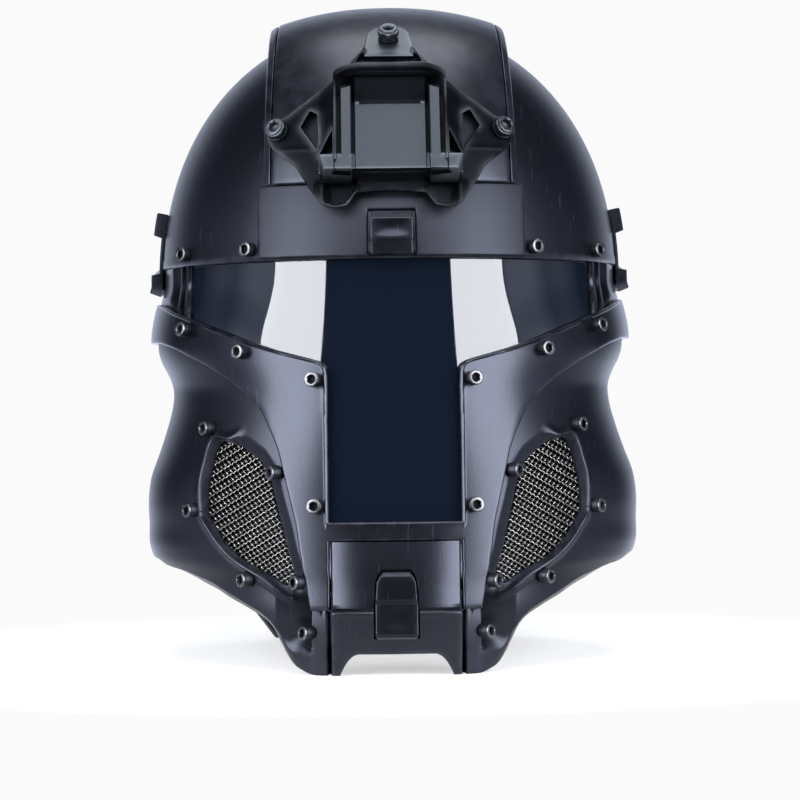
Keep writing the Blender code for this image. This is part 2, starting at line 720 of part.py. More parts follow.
def over_crown(name, inner_widths, outer_widths, columns, drop, mirror_sign):
    """A strip that runs over the crown from brow to back, from one half width to another."""
    rows = 21
    share = np.linspace(0, 1, columns)[None, :]
    z_end = BAND_FRONT_Z + 0 * share
    edge_x = outer_widths[0] if inner_widths is None else (inner_widths[0] + outer_widths[0]) / 2
    start = band_angle(edge_x + 0 * share, z_end)
    sweep = start + (math.pi - 2 * start) * np.linspace(0, 1, rows)[:, None]
    for _ in range(3):
        outer = band_width(sweep, outer_widths)
        inner = -outer if inner_widths is None else band_width(sweep, inner_widths) + GAP
        x = inner + (outer - inner) * share
        start = band_angle(x[0], z_end[0])
        sweep = start[None, :] + (math.pi - 2 * start[None, :]) * np.linspace(0, 1, rows)[:, None]
    face = band_layer(x, sweep, -drop * share)
    seat_half = CROWN_HALF_WIDTH + GAP
    start = angle_for_height(x[0], z_end[0], (GAP, GAP), seat_half)
    sweep = start[None, :] + (math.pi - 2 * start[None, :]) * np.linspace(0, 1, rows)[:, None]
    back = crown_layer(x, sweep, (GAP, GAP), seat_half)
    if mirror_sign < 0:
        face, back = face * (-1, 1, 1), back * (-1, 1, 1)
        face, back = face[:, ::-1], back[:, ::-1]
    return closed_block(name, face, back, "shell_black")


def brow_plate():
    """The plate under the band's front end, with a notch for its snap lever."""
    z = np.linspace(BROW_FOOT_Z, BROW_TOP_Z, 5)[:, None] + np.zeros((1, 15))
    x = np.linspace(-BROW_HALF_WIDTH, BROW_HALF_WIDTH, 15)[None, :] + 0 * z
    layers = []
    for proud in (BROW_PROUD, GAP):
        half = CROWN_HALF_WIDTH + proud
        layers.append(crown_layer(x, angle_for_height(x, z, (proud, proud), half), (proud, proud), half))
    plate = closed_block("brow_plate", *layers, "plate_black")
    return combine(plate, box("brow_notch", *BROW_NOTCH), "DIFFERENCE")


def shroud_box(name, low, high):
    """A box in the shroud's own tilted frame: X across, Y out of its face, Z along it."""
    middle = Vector(SHROUD_CENTRE)
    return box(name, middle + Vector(low), middle + Vector(high), -SHROUD_TILT, SHROUD_CENTRE)


def shroud_mount():
    """The three-bolt mount for a night-vision device: a skeleton plate with a dovetail frame."""
    z = np.linspace(0.2365, 0.3450, 14)[:, None] + np.zeros((1, 13))
    x = np.linspace(-0.0658, 0.0658, 13)[None, :] + 0 * z
    over = GAP + SHROUD_WALL
    face = band_layer(x, band_angle(x, z, over), over)
    seat = band_layer(x, band_angle(x, z, GAP), GAP)
    plate = closed_block("shroud_mount", face, seat, "shroud_black")
    under = closed_block("shroud_clearance", seat, seat + (0, 0.05, 0), None, CUTTERS)
    right_way_out(under)
    half, depth, length = SHROUD_FRAME
    frame = shroud_box("shroud_frame", (-half, -depth, -length / 2), (half, SHROUD_ROOT, length / 2))
    combine(plate, frame, "UNION")
    for side in (1, -1):
        outline = [(side * x, z) for x, z in SHROUD_GUSSET]
        combine(plate, prism(f"gusset_{side}", outline, -0.1490, -0.1150), "UNION")
    combine(plate, prism("shroud_outline", SHROUD_OUTLINE, -0.20, 0.02, both_sides=True), "INTERSECT")
    combine(plate, under, "DIFFERENCE")
    half, reach = SHROUD_SOCKET
    low = -length / 2 - 0.02
    combine(plate, shroud_box("socket", (-half, -depth - 0.01, low), (half, SHROUD_FLOOR, reach)), "DIFFERENCE")
    half, reach, step = SHROUD_STEP
    rails = shroud_box("shroud_step", (-half, -depth - 0.011, low - 0.001), (half, step - depth, reach))
    combine(plate, rails, "DIFFERENCE")
    combine(plate, prism("top_window", SHROUD_TOP_WINDOW, -0.20, 0.02, both_sides=True), "DIFFERENCE")
    for side in (1, -1):
        outline = [(side * x, z) for x, z in SHROUD_SIDE_WINDOW]
        combine(plate, prism(f"side_window_{side}", outline, -0.20, 0.02), "DIFFERENCE")
    return plate


def socket_screw(name, radius, height, socket, finish_name):
    """Mesh of a cap screw: a profile from the foot of its barrel to its socket, turned about Z."""
    profile = (
        (0.0, 0.0),
        (0.72 * radius, 0.0),
        (0.72 * radius, 0.25 * height),
        (radius, 0.30 * height),
        (radius, 0.92 * height),
        (0.90 * radius, height),
        (socket, height),
        (socket, 0.45 * height),
        (0.0, 0.45 * height),
    )
    mesh = bpy.data.meshes.new(name)
    mesh.from_pydata([(r, 0.0, z) for r, z in reversed(profile)], [(i, i + 1) for i in range(len(profile) - 1)], [])
    thing = bpy.data.objects.new(name, mesh)
    HELMET.objects.link(thing)
    turn = thing.modifiers.new("turn", "SCREW")
    turn.steps = turn.render_steps = 9
    turn.use_merge_vertices = True
    turn.merge_threshold = 0.00001
    bake(thing)
    solid = thing.data
    bpy.data.objects.remove(thing)
    solid.materials.append(finish(finish_name))
    solid.shade_smooth()
    solid.set_sharp_from_angle(angle=math.radians(30))
    return solid


def place_screw(name, mesh, foot, normal):
    thing = bpy.data.objects.new(name, mesh)
    HELMET.objects.link(thing)
    thing.location = foot
    thing.rotation_euler = Vector(normal).normalized().to_track_quat("Z", "Y").to_euler()
    return thing


def screws_on_skin(mesh, label, places, depth):
    """A right and a left screw with its head at each place, standing on the layer at that depth."""
    for number, (x, z) in enumerate(places, 1):
        turn, height = find_on_skin(x, z, depth - SEAT_GAP - SCREW_HEIGHT)
        foot, outer = skin(turn, height, depth - SEAT_GAP), skin(turn, height, depth - 0.01)
        for side, letter in ((1, "R"), (-1, "L")):
            flip = np.array((side, 1, 1))
            place_screw(f"{label}_{number}_{letter}", mesh, foot * flip, (outer - foot) * flip)


def shroud_bolts():
    mesh = socket_screw("shroud_bolt", BOLT_HEAD, BOLT_HEIGHT, 0.5 * BOLT_HEAD, "shroud_black")
    over = 2 * GAP + SHROUD_WALL
    for name, x, z in SHROUD_BOLTS:
        foot = band_layer(x, band_angle(x, z, over), over)
        outer = band_layer(x, band_angle(x, z, over), over + 0.002)
        along = band_layer(x, band_angle(x, z, over) + 0.01, over) - foot
        across = band_layer(x + 0.001, band_angle(x, z, over), over) - foot
        normal = np.cross(across, along)
        normal *= np.sign(np.dot(normal, outer - foot))
        place_screw(name, mesh, foot, normal)


def side_rail():
    """The right accessory rail: a bowed bar along the ear, with a groove that is open in front."""
    table = np.array(RAIL_SECTIONS)
    angles = np.linspace(table[0, 0], table[-1, 0], 15)
    foot, top = smooth_table(table, angles).T
    share = np.linspace(0, 1, 5)[:, None]
    turn = np.radians(angles)[None, :] + 0 * share
    z = foot + (top - foot) * share
    seat = skin(turn, z, -GAP)
    rail = closed_block("side_rail_R", skin(turn, z, -GAP - RAIL_WALL), seat, "plate_black")
    middle = (foot + top) / 2
    share = np.linspace(-0.5, 0.5, 3)[:, None]
    z = middle + RAIL_GROOVE_SHARE * (top - foot) * share
    turn = np.radians(angles - 3.0)[None, :] + 0 * share
    floor = GAP + RAIL_WALL - RAIL_GROOVE_DEPTH
    groove = closed_block("rail_groove", skin(turn, z, -floor - 0.01), skin(turn, z, -floor), None, CUTTERS)
    right_way_out(groove)
    return combine(rail, groove, "DIFFERENCE")


def centre_on_box():
    """Hangs every piece on one empty, which puts the middle of the helmet's box at Y = 0."""
    middle = bpy.data.objects.new("helmet_middle", None)
    HELMET.objects.link(middle)
    middle.location = (0.0, BOX_SHIFT_Y, 0.0)
    for thing in list(HELMET.objects) + list(CUTTERS.objects):
        if thing is not middle:
            thing.parent = middle


def main():
    crown_shell()
    face_plate()
    visor_lens()
    for make in (temple, cheek_guard, vent_mesh, side_rail):
        right = make()
        bake(right)
        flip_side(right, right.name[:-1] + "L")
    chin_panel()
    lever("chin_latch", CHIN_LATCH, CHIN_LATCH_AXIS)
    lever("brow_latch", BROW_LATCH, BROW_LATCH_AXIS)
    over_crown("crown_band", None, BAND_HALF_WIDTHS, 13, 0.0, 1)
    over_crown("edge_strip_R", BAND_HALF_WIDTHS, STRIP_OUTER_WIDTHS, 3, 0.001, 1)
    over_crown("edge_strip_L", BAND_HALF_WIDTHS, STRIP_OUTER_WIDTHS, 3, 0.001, -1)
    brow_plate()
    shroud_mount()
    shroud_bolts()
    screw = socket_screw("cap_screw", SCREW_HEAD, SCREW_HEIGHT, SOCKET, "screw_steel")
    screws_on_skin(screw, "rim_screw", RIM_SCREWS, 0.0)
    screws_on_skin(screw, "plate_screw", PLATE_SCREWS, 0.0)
    screws_on_skin(screw, "guard_screw", GUARD_SCREWS, INNER_LAYER)
    centre_on_box()


main()
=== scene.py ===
import math

import bpy
import numpy as np
from mathutils import Matrix, Vector
from mathutils.geometry import delaunay_2d_cdt


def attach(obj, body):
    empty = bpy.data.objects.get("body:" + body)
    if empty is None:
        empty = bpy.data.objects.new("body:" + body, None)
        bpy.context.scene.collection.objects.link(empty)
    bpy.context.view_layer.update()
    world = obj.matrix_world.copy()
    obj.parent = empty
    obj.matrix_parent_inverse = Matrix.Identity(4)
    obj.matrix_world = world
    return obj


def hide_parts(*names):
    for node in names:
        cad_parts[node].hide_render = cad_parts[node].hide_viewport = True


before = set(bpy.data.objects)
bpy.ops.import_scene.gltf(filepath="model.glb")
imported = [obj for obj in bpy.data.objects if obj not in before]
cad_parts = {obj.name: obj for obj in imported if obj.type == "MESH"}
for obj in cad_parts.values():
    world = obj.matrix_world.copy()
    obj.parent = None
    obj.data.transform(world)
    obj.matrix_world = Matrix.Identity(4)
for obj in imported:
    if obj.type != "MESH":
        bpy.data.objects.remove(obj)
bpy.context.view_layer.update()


# ---- Crown shell ---------------------------------------------------------------------------
# One shell of black plastic, 3 mm thick, moulded in a single shot from the brow over the head
# and down to the nape. Every other panel is screwed or clipped to it and follows its curve.

CROWN_BASE = 0.205
CROWN_RISE = 0.144
CROWN_HALF = 0.1255
CROWN_FRONT = 0.142
CROWN_REAR = 0.145
ROUNDNESS = 2.15
EAR_Y = 0.0035
HEAD_TO_BOX = 0.0064
RIM_Z = 0.2128
SINK_END = 0.165
SHELL_WALL = 0.0031
INNER_LAYER = 0.0040
WEAR_REACH = 0.0012
GRAIN_DEPTH = 0.0004

# Height, half width, front y, y of the widest place and rear y of the face and nape.
LEVELS = np.array((
    (-0.01, 0.111, -0.142, -0.0315, 0.139),
    (0.0, 0.113, -0.144, -0.0315, 0.1385),
    (0.033, 0.123, -0.151, -0.0315, 0.137),
    (0.048, 0.1281, -0.1508, -0.0315, 0.137),
    (0.055, 0.1335, -0.1505, -0.0315, 0.1375),
    (0.062, 0.136, -0.15, -0.0315, 0.138),
    (0.075, 0.1365, -0.149, -0.031, 0.139),
    (0.088, 0.1368, -0.148, -0.0305, 0.1405),
    (0.101, 0.1352, -0.147, -0.0285, 0.142),
    (0.114, 0.1307, -0.146, -0.0255, 0.1435),
    (0.127, 0.1266, -0.145, -0.021, 0.145),
    (0.14, 0.1236, -0.144, -0.016, 0.146),
    (0.147, 0.1234, -0.1435, -0.013, 0.1465),
    (0.154, 0.1262, -0.1428, -0.0095, 0.147),
    (0.16, 0.1295, -0.142, -0.007, 0.1475),
    (0.167, 0.1318, -0.1412, -0.0045, 0.1478),
    (0.175, 0.1322, -0.1402, -0.0025, 0.148),
    (0.19, 0.13, -0.1389, 0.001, 0.1484),
    (CROWN_BASE, CROWN_HALF, EAR_Y - CROWN_FRONT, EAR_Y, EAR_Y + CROWN_REAR),
))
LEVEL_SLOPES = np.gradient(LEVELS[:, 1:], LEVELS[:, 0], axis=0)
LEVEL_SLOPES[-1] = 0.0


def blend_rows(rows, at, slopes):
    """Each column of a table at the values in `at`: the cubic that has these slopes at its rows."""
    at = np.clip(np.asarray(at, float), rows[0, 0], rows[-1, 0])
    low = np.clip(np.searchsorted(rows[:, 0], at, side="right") - 1, 0, len(rows) - 2)
    step = (rows[low + 1, 0] - rows[low, 0])[..., None]
    t = (at - rows[low, 0])[..., None] / step
    return (
        (1 + 2 * t) * (1 - t) ** 2 * rows[low, 1:]
        + t * (1 - t) ** 2 * step * slopes[low]
        + t * t * (3 - 2 * t) * rows[low + 1, 1:]
        + t * t * (t - 1) * step * slopes[low + 1]
    )


def level(z):
    """Half width, front y, widest y and rear y of the skin at a height: the table below the
    crown, and over it every reach times (1 - rise^n)^(1/n)."""
    z = np.asarray(z, float)
    rise = np.clip((z - CROWN_BASE) / CROWN_RISE, 0.0, 1.0)
    shrink = ((1 - rise**ROUNDNESS) ** (1 / ROUNDNESS))[..., None]
    crown = shrink * (CROWN_HALF, -CROWN_FRONT, 0.0, CROWN_REAR) + (0.0, EAR_Y, EAR_Y, EAR_Y)
    below = blend_rows(LEVELS, z, LEVEL_SLOPES)
    return np.moveaxis(np.where((z > CROWN_BASE)[..., None], crown, below), -1, 0)


def skin_point(turn, z):
    """Point of the skin at an angle from the front and a height: x = half * sin^(2/n) and
    y = reach * cos^(2/n), with the front and the rear reach joined at the widest place."""
    half, front, widest, rear = level(z)
    power = 2 / ROUNDNESS
    side, ahead = np.sin(turn), np.cos(turn)
    reach = np.where(ahead > 0, front - widest, rear - widest)
    x = half * np.sign(side) * np.abs(side) ** power
    y = HEAD_TO_BOX + widest + reach * np.abs(ahead) ** power
    return np.stack([x, y, np.broadcast_to(z, x.shape)], -1)


def skin(turn, z, depth=0.0):
    """Point at a depth under the skin: the skin's point minus depth times its normal, which is
    the cross product of a step round it and a step up it."""
    turn, z, depth = np.broadcast_arrays(np.asarray(turn, float), np.asarray(z, float), depth)
    round_it = skin_point(turn + 2e-3, z) - skin_point(turn - 2e-3, z)
    up_it = skin_point(turn, z + 4e-4) - skin_point(turn, z - 4e-4)
    normal = np.cross(round_it, up_it)
    normal /= np.linalg.norm(normal, axis=-1, keepdims=True)
    return skin_point(turn, z) - normal * depth[..., None]


def slope(value, low, high):
    """0 below `low`, 1 above `high`, and a smooth step t^2 (3 - 2t) between."""
    t = np.clip((value - low) / (high - low), 0, 1)
    return t * t * (3 - 2 * t)


def bell(value, middle, width):
    """A smooth ridge, exp(-((value - middle) / width)^2)."""
    return np.exp(-(((value - middle) / width) ** 2))


def edge_steps(radius):
    """Four steps in from an edge over its rounding: radius times (1 - cos) of even angles."""
    return radius * (1 - np.cos(np.radians([0.0, 22.5, 45.0, 67.5])))


def rounded_steps(width, radius, count):
    """Distances across a width: short steps over the rounding at either edge, even ones between."""
    width = np.asarray(width, float)[..., None]
    near = edge_steps(radius) + 0 * width
    even = radius + (width - 2 * radius) * np.linspace(0, 1, count)
    return np.concatenate([near, even, width - near[..., ::-1]], -1)


def rounding(gap, radius):
    """How far a face dips at this distance from its edge: a quarter circle of the radius."""
    return radius - np.sqrt(np.maximum(radius**2 - np.clip(radius - gap, 0.0, radius) ** 2, 0.0))


def grid_quads(rows, columns):
    """The corners of every cell of a grid of points that are numbered row by row."""
    corner = np.arange(rows - 1)[:, None] * columns + np.arange(columns - 1)
    return np.stack([corner, corner + 1, corner + columns + 1, corner + columns], -1).reshape(-1, 4)


def weld(points, quads, digits):
    """Joins equal points: which points are kept, all quads over them, the whole ones, and the
    triangles that are left of those with two equal corners."""
    points = np.round(points, digits)
    _, kept, same = np.unique(points, axis=0, return_index=True, return_inverse=True)
    quads = same.reshape(-1)[quads]
    moves = quads != np.roll(quads, 1, axis=1)
    three = moves.sum(axis=1) == 3
    return kept, quads, quads[moves.all(axis=1)], quads[three][moves[three]].reshape(-1, 3)


def new_piece(name, points, faces, wear_and_shade, sharp=None):
    """A smooth mesh in the scene. The wear value, which on the vent weave also carries painted
    shade, is kept at its points for the finish to read, and edges over `sharp` degrees are drawn
    sharp."""
    mesh = bpy.data.meshes.new(name)
    mesh.from_pydata(points.tolist(), [], faces)
    mesh.attributes.new("wear_and_shade", "FLOAT", "POINT")
    mesh.attributes["wear_and_shade"].data.foreach_set("value", wear_and_shade.astype(np.float32))
    mesh.shade_smooth()
    if sharp:
        mesh.set_sharp_from_angle(angle=math.radians(sharp))
    piece = bpy.data.objects.new(name, mesh)
    bpy.context.scene.collection.objects.link(piece)
    return piece


def slab(name, grids, sharp=34.0):
    """A closed solid. Each grid is its face, the back under it and the distance of each point
    from the edge, with its own quads if it isn't in rows. Points that grids share are welded,
    and the face's loose edges are joined to the back's. `wear_and_shade` is exp(-distance / 1.2 mm)."""
    quads, start = [], 0
    for face, _, _, *own in grids:
        quads.append(start + (own[0] if own else grid_quads(*face.shape[:2])))
        start += face.size // 3
    face, back = (np.vstack([grid[i].reshape(-1, 3) for grid in grids]) for i in (0, 1))
    gap = np.concatenate([np.broadcast_to(grid[2], grid[0].shape[:-1]).ravel() for grid in grids])
    kept, quads, whole, corners = weld(face, np.vstack(quads), 6)
    face, back, gap, count = face[kept], back[kept], gap[kept], len(kept)
    start, end = quads.ravel(), np.roll(quads, -1, axis=1).ravel()
    start, end = start[start != end], end[start != end]
    loose = ~np.isin(start * count + end, end * count + start)
    start, end = start[loose], end[loose]
    rim = np.stack([end, start, start + count, end + count], 1)
    parts = (whole, whole[:, ::-1] + count, rim, corners, corners[:, ::-1] + count)
    points = np.maximum(np.vstack([face, back]), (-1.0, -1.0, 0.0))
    wear_and_shade = np.concatenate([np.exp(-gap / WEAR_REACH), 0 * gap])
    return new_piece(name, points, sum([part.tolist() for part in parts], []), wear_and_shade, sharp)


class Wire:
    """A shader socket. Arithmetic on it adds Math nodes, and node() adds any other node."""

    def __init__(self, tree, socket=None):
        self.tree, self.socket = tree, socket

    def node(self, kind, settings=None, inputs=None, output=0):
        made = self.tree.nodes.new("ShaderNode" + kind)
        for name, value in (settings or {}).items():
            setattr(made, name, value)
        for name, value in (inputs or {}).items():
            if isinstance(value, Wire):
                self.tree.links.new(value.socket, made.inputs[name])
            else:
                made.inputs[name].default_value = value
        return Wire(self.tree, made.outputs[output])

    def math(self, operation, *values):
        return self.node("Math", {"operation": operation}, dict(enumerate(values)))

    def __add__(self, other):
        return self.math("ADD", self, other)

    def __sub__(self, other):
        return self.math("SUBTRACT", self, other)

    def __rsub__(self, other):
        return self.math("SUBTRACT", other, self)

    def __mul__(self, other):
        return self.math("MULTIPLY", self, other)

    __radd__ = __add__
    __rmul__ = __mul__

    def over(self, low, high):
        """0 below `low`, 1 above `high`, and a straight line between."""
        inputs = {"Value": self, "From Min": low, "From Max": high}
        return self.node("MapRange", {"clamp": True}, inputs)

    def mix(self, first, second):
        """The first colour where this is 0, the second where it is 1."""
        return self.node("Mix", {"data_type": "RGBA"}, {0: self, 6: first, 7: second}, 2)

    def noise(self, scale, detail, **more):
        """Soft noise over these coordinates."""
        inputs = {"Vector": self, "Scale": scale, "Detail": detail, **more}
        return self.node("TexNoise", inputs=inputs)

    def turned(self, rotation, scale):
        """These coordinates turned and stretched."""
        inputs = {"Vector": self, "Rotation": rotation, "Scale": scale}
        return self.node("Mapping", inputs=inputs)

    def bump(self, strength, distance):
        """The normal of a surface with this height."""
        inputs = {"Height": self, "Strength": strength, "Distance": distance}
        return self.node("Bump", inputs=inputs, output="Normal")

    def wear_and_shade(self):
        """The wear value that every mesh keeps at its points, which on the vent weave also carries
        painted shade.
        """
        return self.node("Attribute", {"attribute_name": "wear_and_shade"}, output="Fac")


def new_material(name, constants):
    """A Principled material with these constants, its shader node, and the object's coordinates."""
    material = bpy.data.materials.new(name)
    material.use_nodes = True
    shader = material.node_tree.nodes["Principled BSDF"]
    for socket, value in constants.items():
        shader.inputs[socket].default_value = value
    return material, shader, Wire(material.node_tree).node("TexCoord", output="Object")


def feed(shader, wires):
    for socket, wire in wires.items():
        wire.tree.links.new(wire.socket, shader.inputs[socket])


def moulded_plastic(name, colour, rubbed, gloss, grain=0.07, index=1.43):
    """Black moulded plastic. Colour and gloss drift in soft clouds, edges are rubbed paler and
    smoother, a few hairline scratches cross it, and spark-eroded grain covers it."""
    constants = {"IOR": index, "Specular Tint": (0.76, 0.81, 1.0, 1.0)}
    material, shader, place = new_material(name, constants)
    cloud = place.noise(16.0, 3.0, Roughness=0.5)
    blotch = place.noise(120.0, 3.0)
    fine = place.noise(1500.0, 2.0)
    pits = place.node("TexVoronoi", {"feature": "SMOOTH_F1"}, {"Vector": place, "Scale": 900.0})
    hair = place.turned((0.4, 0.9, 0.3), (900.0, 12.0, 60.0)).noise(1.0, 1.0).over(0.70, 0.76)
    rub = place.wear_and_shade() * blotch.over(0.35, 0.60)
    dark = tuple(0.72 * part for part in colour[:3]) + (1.0,)
    pale = (rub * 0.8 + hair * 0.35).over(0.0, 1.0)
    base = pale.mix(cloud.over(0.35, 0.65).mix(dark, colour), rubbed)
    rough = gloss + (cloud - 0.5) * 0.06 + (blotch - 0.5) * 0.02 - rub * 0.08 + hair * 0.06
    feed(shader, {
        "Base Color": base,
        "Roughness": rough,
        "Normal": (fine * 0.6 + pits * 0.5 - hair * 0.4).bump(grain, GRAIN_DEPTH),
    })
    return material


def finish_piece(piece, material, body, slot, *nodes):
    """Paints a piece, lets it ride on its body, and lets it stand for its CAD nodes."""
    piece.data.materials.append(material)
    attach(piece, body)
    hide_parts(*nodes)
    return piece


def moulded_piece(node, grids, material, slot, body="shell", sharp=34.0):
    """A slab that stands for one CAD node."""
    return finish_piece(slab(f"{node}_moulded", grids, sharp), material, body, slot, node)


SHELL_BLACK = (0.0018, 0.0021, 0.0034, 1.0)
shell_plastic = moulded_plastic("shell plastic", SHELL_BLACK, (0.018, 0.020, 0.026, 1.0), 0.35)

# Turn in degrees and height of the shell's lower edge.
SKIRT_EDGE = np.array((
    (0.0, RIM_Z), (98.8, RIM_Z), (99.0, 0.196), (118.0, 0.05), (131.0, 0.03), (141.9, 0.0),
    (180.0, 0.0),
))
SHELL_ROUNDING = 0.0011
UP_SCALE = 0.135


def climb(z):
    """Distance up the skin: the height below the crown, then UP_SCALE times the rise's angle."""
    rise = np.clip((z - CROWN_BASE) / CROWN_RISE, 0.0, 1.0)
    return np.where(z > CROWN_BASE, CROWN_BASE + UP_SCALE * np.arcsin(rise ** (ROUNDNESS / 2)), z)


def height_after(way):
    """The height at that distance up the skin, the inverse of climb."""
    angle = np.clip((way - CROWN_BASE) / UP_SCALE, 0.0, math.pi / 2)
    crown = CROWN_BASE + CROWN_RISE * np.sin(angle) ** (2 / ROUNDNESS)
    return np.where(way > CROWN_BASE, crown, way)


def crown_shell():
    """The shell's face, rings from its lower edge up to the pole. The first rings turn in by a
    quarter circle, a low bead follows the rim over the face, and below the rim the skirt sinks
    by a smooth step to the layer of the cheek guards."""
    corners = SKIRT_EDGE[1:-1, 0]
    turns = np.unique(np.concatenate([np.linspace(0, 360, 337), corners, 360 - corners]))
    aside = np.where(turns > 180, 360 - turns, turns)
    foot = climb(np.interp(aside, *SKIRT_EDGE.T))[:, None]
    reach = CROWN_BASE + UP_SCALE * math.pi / 2 - foot - SHELL_ROUNDING
    even = SHELL_ROUNDING + reach * np.linspace(0, 1, 100)
    gap = np.concatenate([edge_steps(SHELL_ROUNDING) + 0 * foot, even], 1).T
    z = height_after(foot.T + gap)
    turn = np.radians(turns) + 0 * z
    sink = INNER_LAYER * slope(RIM_Z - z, 0.0, RIM_Z - SINK_END)
    bead = 0.0007 * bell(gap, 0.0022, 0.0013) * (aside < 98.5)
    face = skin(turn[:-1], z[:-1], (rounding(gap, SHELL_ROUNDING) + sink - bead)[:-1])
    back = skin(turn[:-1], z[:-1], SHELL_WALL + sink[:-1])
    face[:, -1], back[:, -1] = face[:, 0], back[:, 0]
    pole = np.zeros((1, len(turns), 3)) + (0.0, HEAD_TO_BOX + EAR_Y, CROWN_BASE + CROWN_RISE)
    return np.vstack([face, pole]), np.vstack([back, pole - (0, 0, SHELL_WALL)]), gap


moulded_piece("crown_shell", [crown_shell()], shell_plastic, "shell_black")


# ---- Crown band and its edge strips --------------------------------------------------------
# A raised cover runs from the brow over the top to the back of the head. Its sides are closed by
# two strips with a rounded shoulder, all moulded in the same plastic and clipped to the shell.

BAND_RISE = 0.1526
BAND_REACH = 0.1475
BAND_FLAT_ENDS = 0.1235
BAND_FLAT_TOP = 0.1563
BAND_END_Z = 0.2522
SEAT_GAP = 0.0004
SWEEP_LENGTH = 0.40


def over_crown(x, rise, proud_reach, proud_rise, flat):
    """Point of a superellipsoid over the crown at x and an angle from the brow: both reaches are
    times (1 - (x/flat)^n)^(1/n)."""
    shrink = (1 - (np.abs(x) / flat) ** ROUNDNESS) ** (1 / ROUNDNESS)
    ahead, up = np.cos(rise), np.sin(rise)
    power = 2 / ROUNDNESS
    reach = np.where(ahead > 0, CROWN_FRONT, CROWN_REAR) + proud_reach
    y = HEAD_TO_BOX + EAR_Y - np.sign(ahead) * reach * shrink * np.abs(ahead) ** power
    z = CROWN_BASE + (CROWN_RISE + proud_rise) * shrink * np.abs(up) ** power
    return np.stack(np.broadcast_arrays(x, y, z), -1)


def on_band(x, rise, depth=0.0):
    """Point at a depth under the band's face, whose flatness goes from its ends' to its top's
    by cos^2."""
    flat = BAND_FLAT_TOP + (BAND_FLAT_ENDS - BAND_FLAT_TOP) * np.cos(rise) ** 2
    proud_reach, proud_rise = BAND_REACH - CROWN_FRONT, BAND_RISE - CROWN_RISE
    return over_crown(x, rise, proud_reach - depth, proud_rise - depth, flat - depth)


def on_crown(x, rise, depth=0.0):
    """Point at a depth under the shell's own face."""
    return over_crown(x, rise, -depth, -depth, CROWN_HALF - depth)


def rise_at(layer, x, z, depth=0.0):
    """The angle from the brow at which a layer reaches a height, found by halving."""
    x, z = np.broadcast_arrays(np.asarray(x, float), np.asarray(z, float))
    low, high = np.zeros(x.shape), np.full(x.shape, math.pi / 2)
    for _ in range(26):
        middle = (low + high) / 2
        below = layer(x, middle, depth)[..., 2] < z
        low, high = np.where(below, middle, low), np.where(below, high, middle)
    return (low + high) / 2


def under(layer, x, z, depth=0.0):
    """Point at a depth under a layer that is seen from the front at x and z."""
    return layer(x, rise_at(layer, x, z, depth), depth)


def swept_strip(inner, outer, radius, drop, columns):
    """A strip over the crown between two half widths given at its ends and at its top, from the
    brow to the back. Its face is rounded at both sides and falls by `drop` outwards, and its back
    lies on the shell."""
    way = rounded_steps(SWEEP_LENGTH, radius, 150)
    across = rounded_steps(abs(outer[0] - inner[0]), radius, columns)
    share, along = across / across[-1], (way / way[-1])[:, None]
    start = rise_at(on_band, (inner[0] + outer[0]) / 2, BAND_END_Z)
    for _ in range(3):
        rise = start + (math.pi - 2 * start) * along
        ends = np.cos(rise) ** 2
        near, far = (half[1] + (half[0] - half[1]) * ends for half in (inner, outer))
        x = near + (far - near) * share
        start = rise_at(on_band, x[0], BAND_END_Z)
    short, low = (np.maximum(radius - np.minimum(s, s[-1] - s), 0) for s in (across, way))
    gap = radius - np.minimum(np.hypot(short, low[:, None]), radius)
    face = on_band(x, rise, rounding(gap, radius) + drop * share)
    start = rise_at(on_crown, x[0], BAND_END_Z, -SEAT_GAP)
    return face, on_crown(x, start + (math.pi - 2 * start) * along, -SEAT_GAP), gap


def mirrored(face, back, gap):
    """The same patch on the helmet's other side."""
    flip = (-1, 1, 1)
    return face[:, ::-1] * flip, back[:, ::-1] * flip, gap[:, ::-1]


def moulded_pair(node, right, material, slot):
    """The right piece of a pair and its mirror image."""
    for letter, patch in (("R", right), ("L", mirrored(*right))):
        moulded_piece(f"{node}_{letter}", [patch], material, slot)


band = swept_strip((-0.0622, -0.0590), (0.0622, 0.0590), 0.0011, 0.0, 70)
moulded_piece("crown_band", [band], shell_plastic, "shell_black")
strip = swept_strip((0.0626, 0.0594), (0.0660, 0.0634), 0.0009, 0.001, 6)
moulded_pair("edge_strip", strip, shell_plastic, "shell_black")


# ---- Brow plate ----------------------------------------------------------------------------
# A satin moulded plate lies on the forehead under the band's front end. It is clipped to the
# shell, and a notch in the middle of its lower edge takes the brow's snap lever.

BROW_HALF = 0.0690
BROW_FOOT = 0.2140
BROW_TOP = 0.2518
BROW_PROUD = 0.0028
BROW_ROUNDING = 0.0009
NOTCH_HALF = 0.0122
NOTCH_TOP = 0.2378


def joined(loop):
    """A closed line's points, with the first one again at its end."""
    return np.vstack([loop, loop[:1]])


def both_sides(corners):
    """A right half of an outline, from top to bottom, and its left half back up."""
    return list(corners) + [(-x, z) for x, z in reversed(corners) if x > 0]


def gap_from(line, points):
    """Distance from each point to the nearest straight piece of a line."""
    start, step = line[:-1], np.diff(line, axis=0)

    def nearest(row):
        away = row[:, None, :] - start
        share = np.clip((away * step).sum(-1) / np.maximum((step**2).sum(-1), 1e-12), 0, 1)
        return np.linalg.norm(away - share[..., None] * step, axis=-1).min(-1)

    return np.array([nearest(row) for row in points])


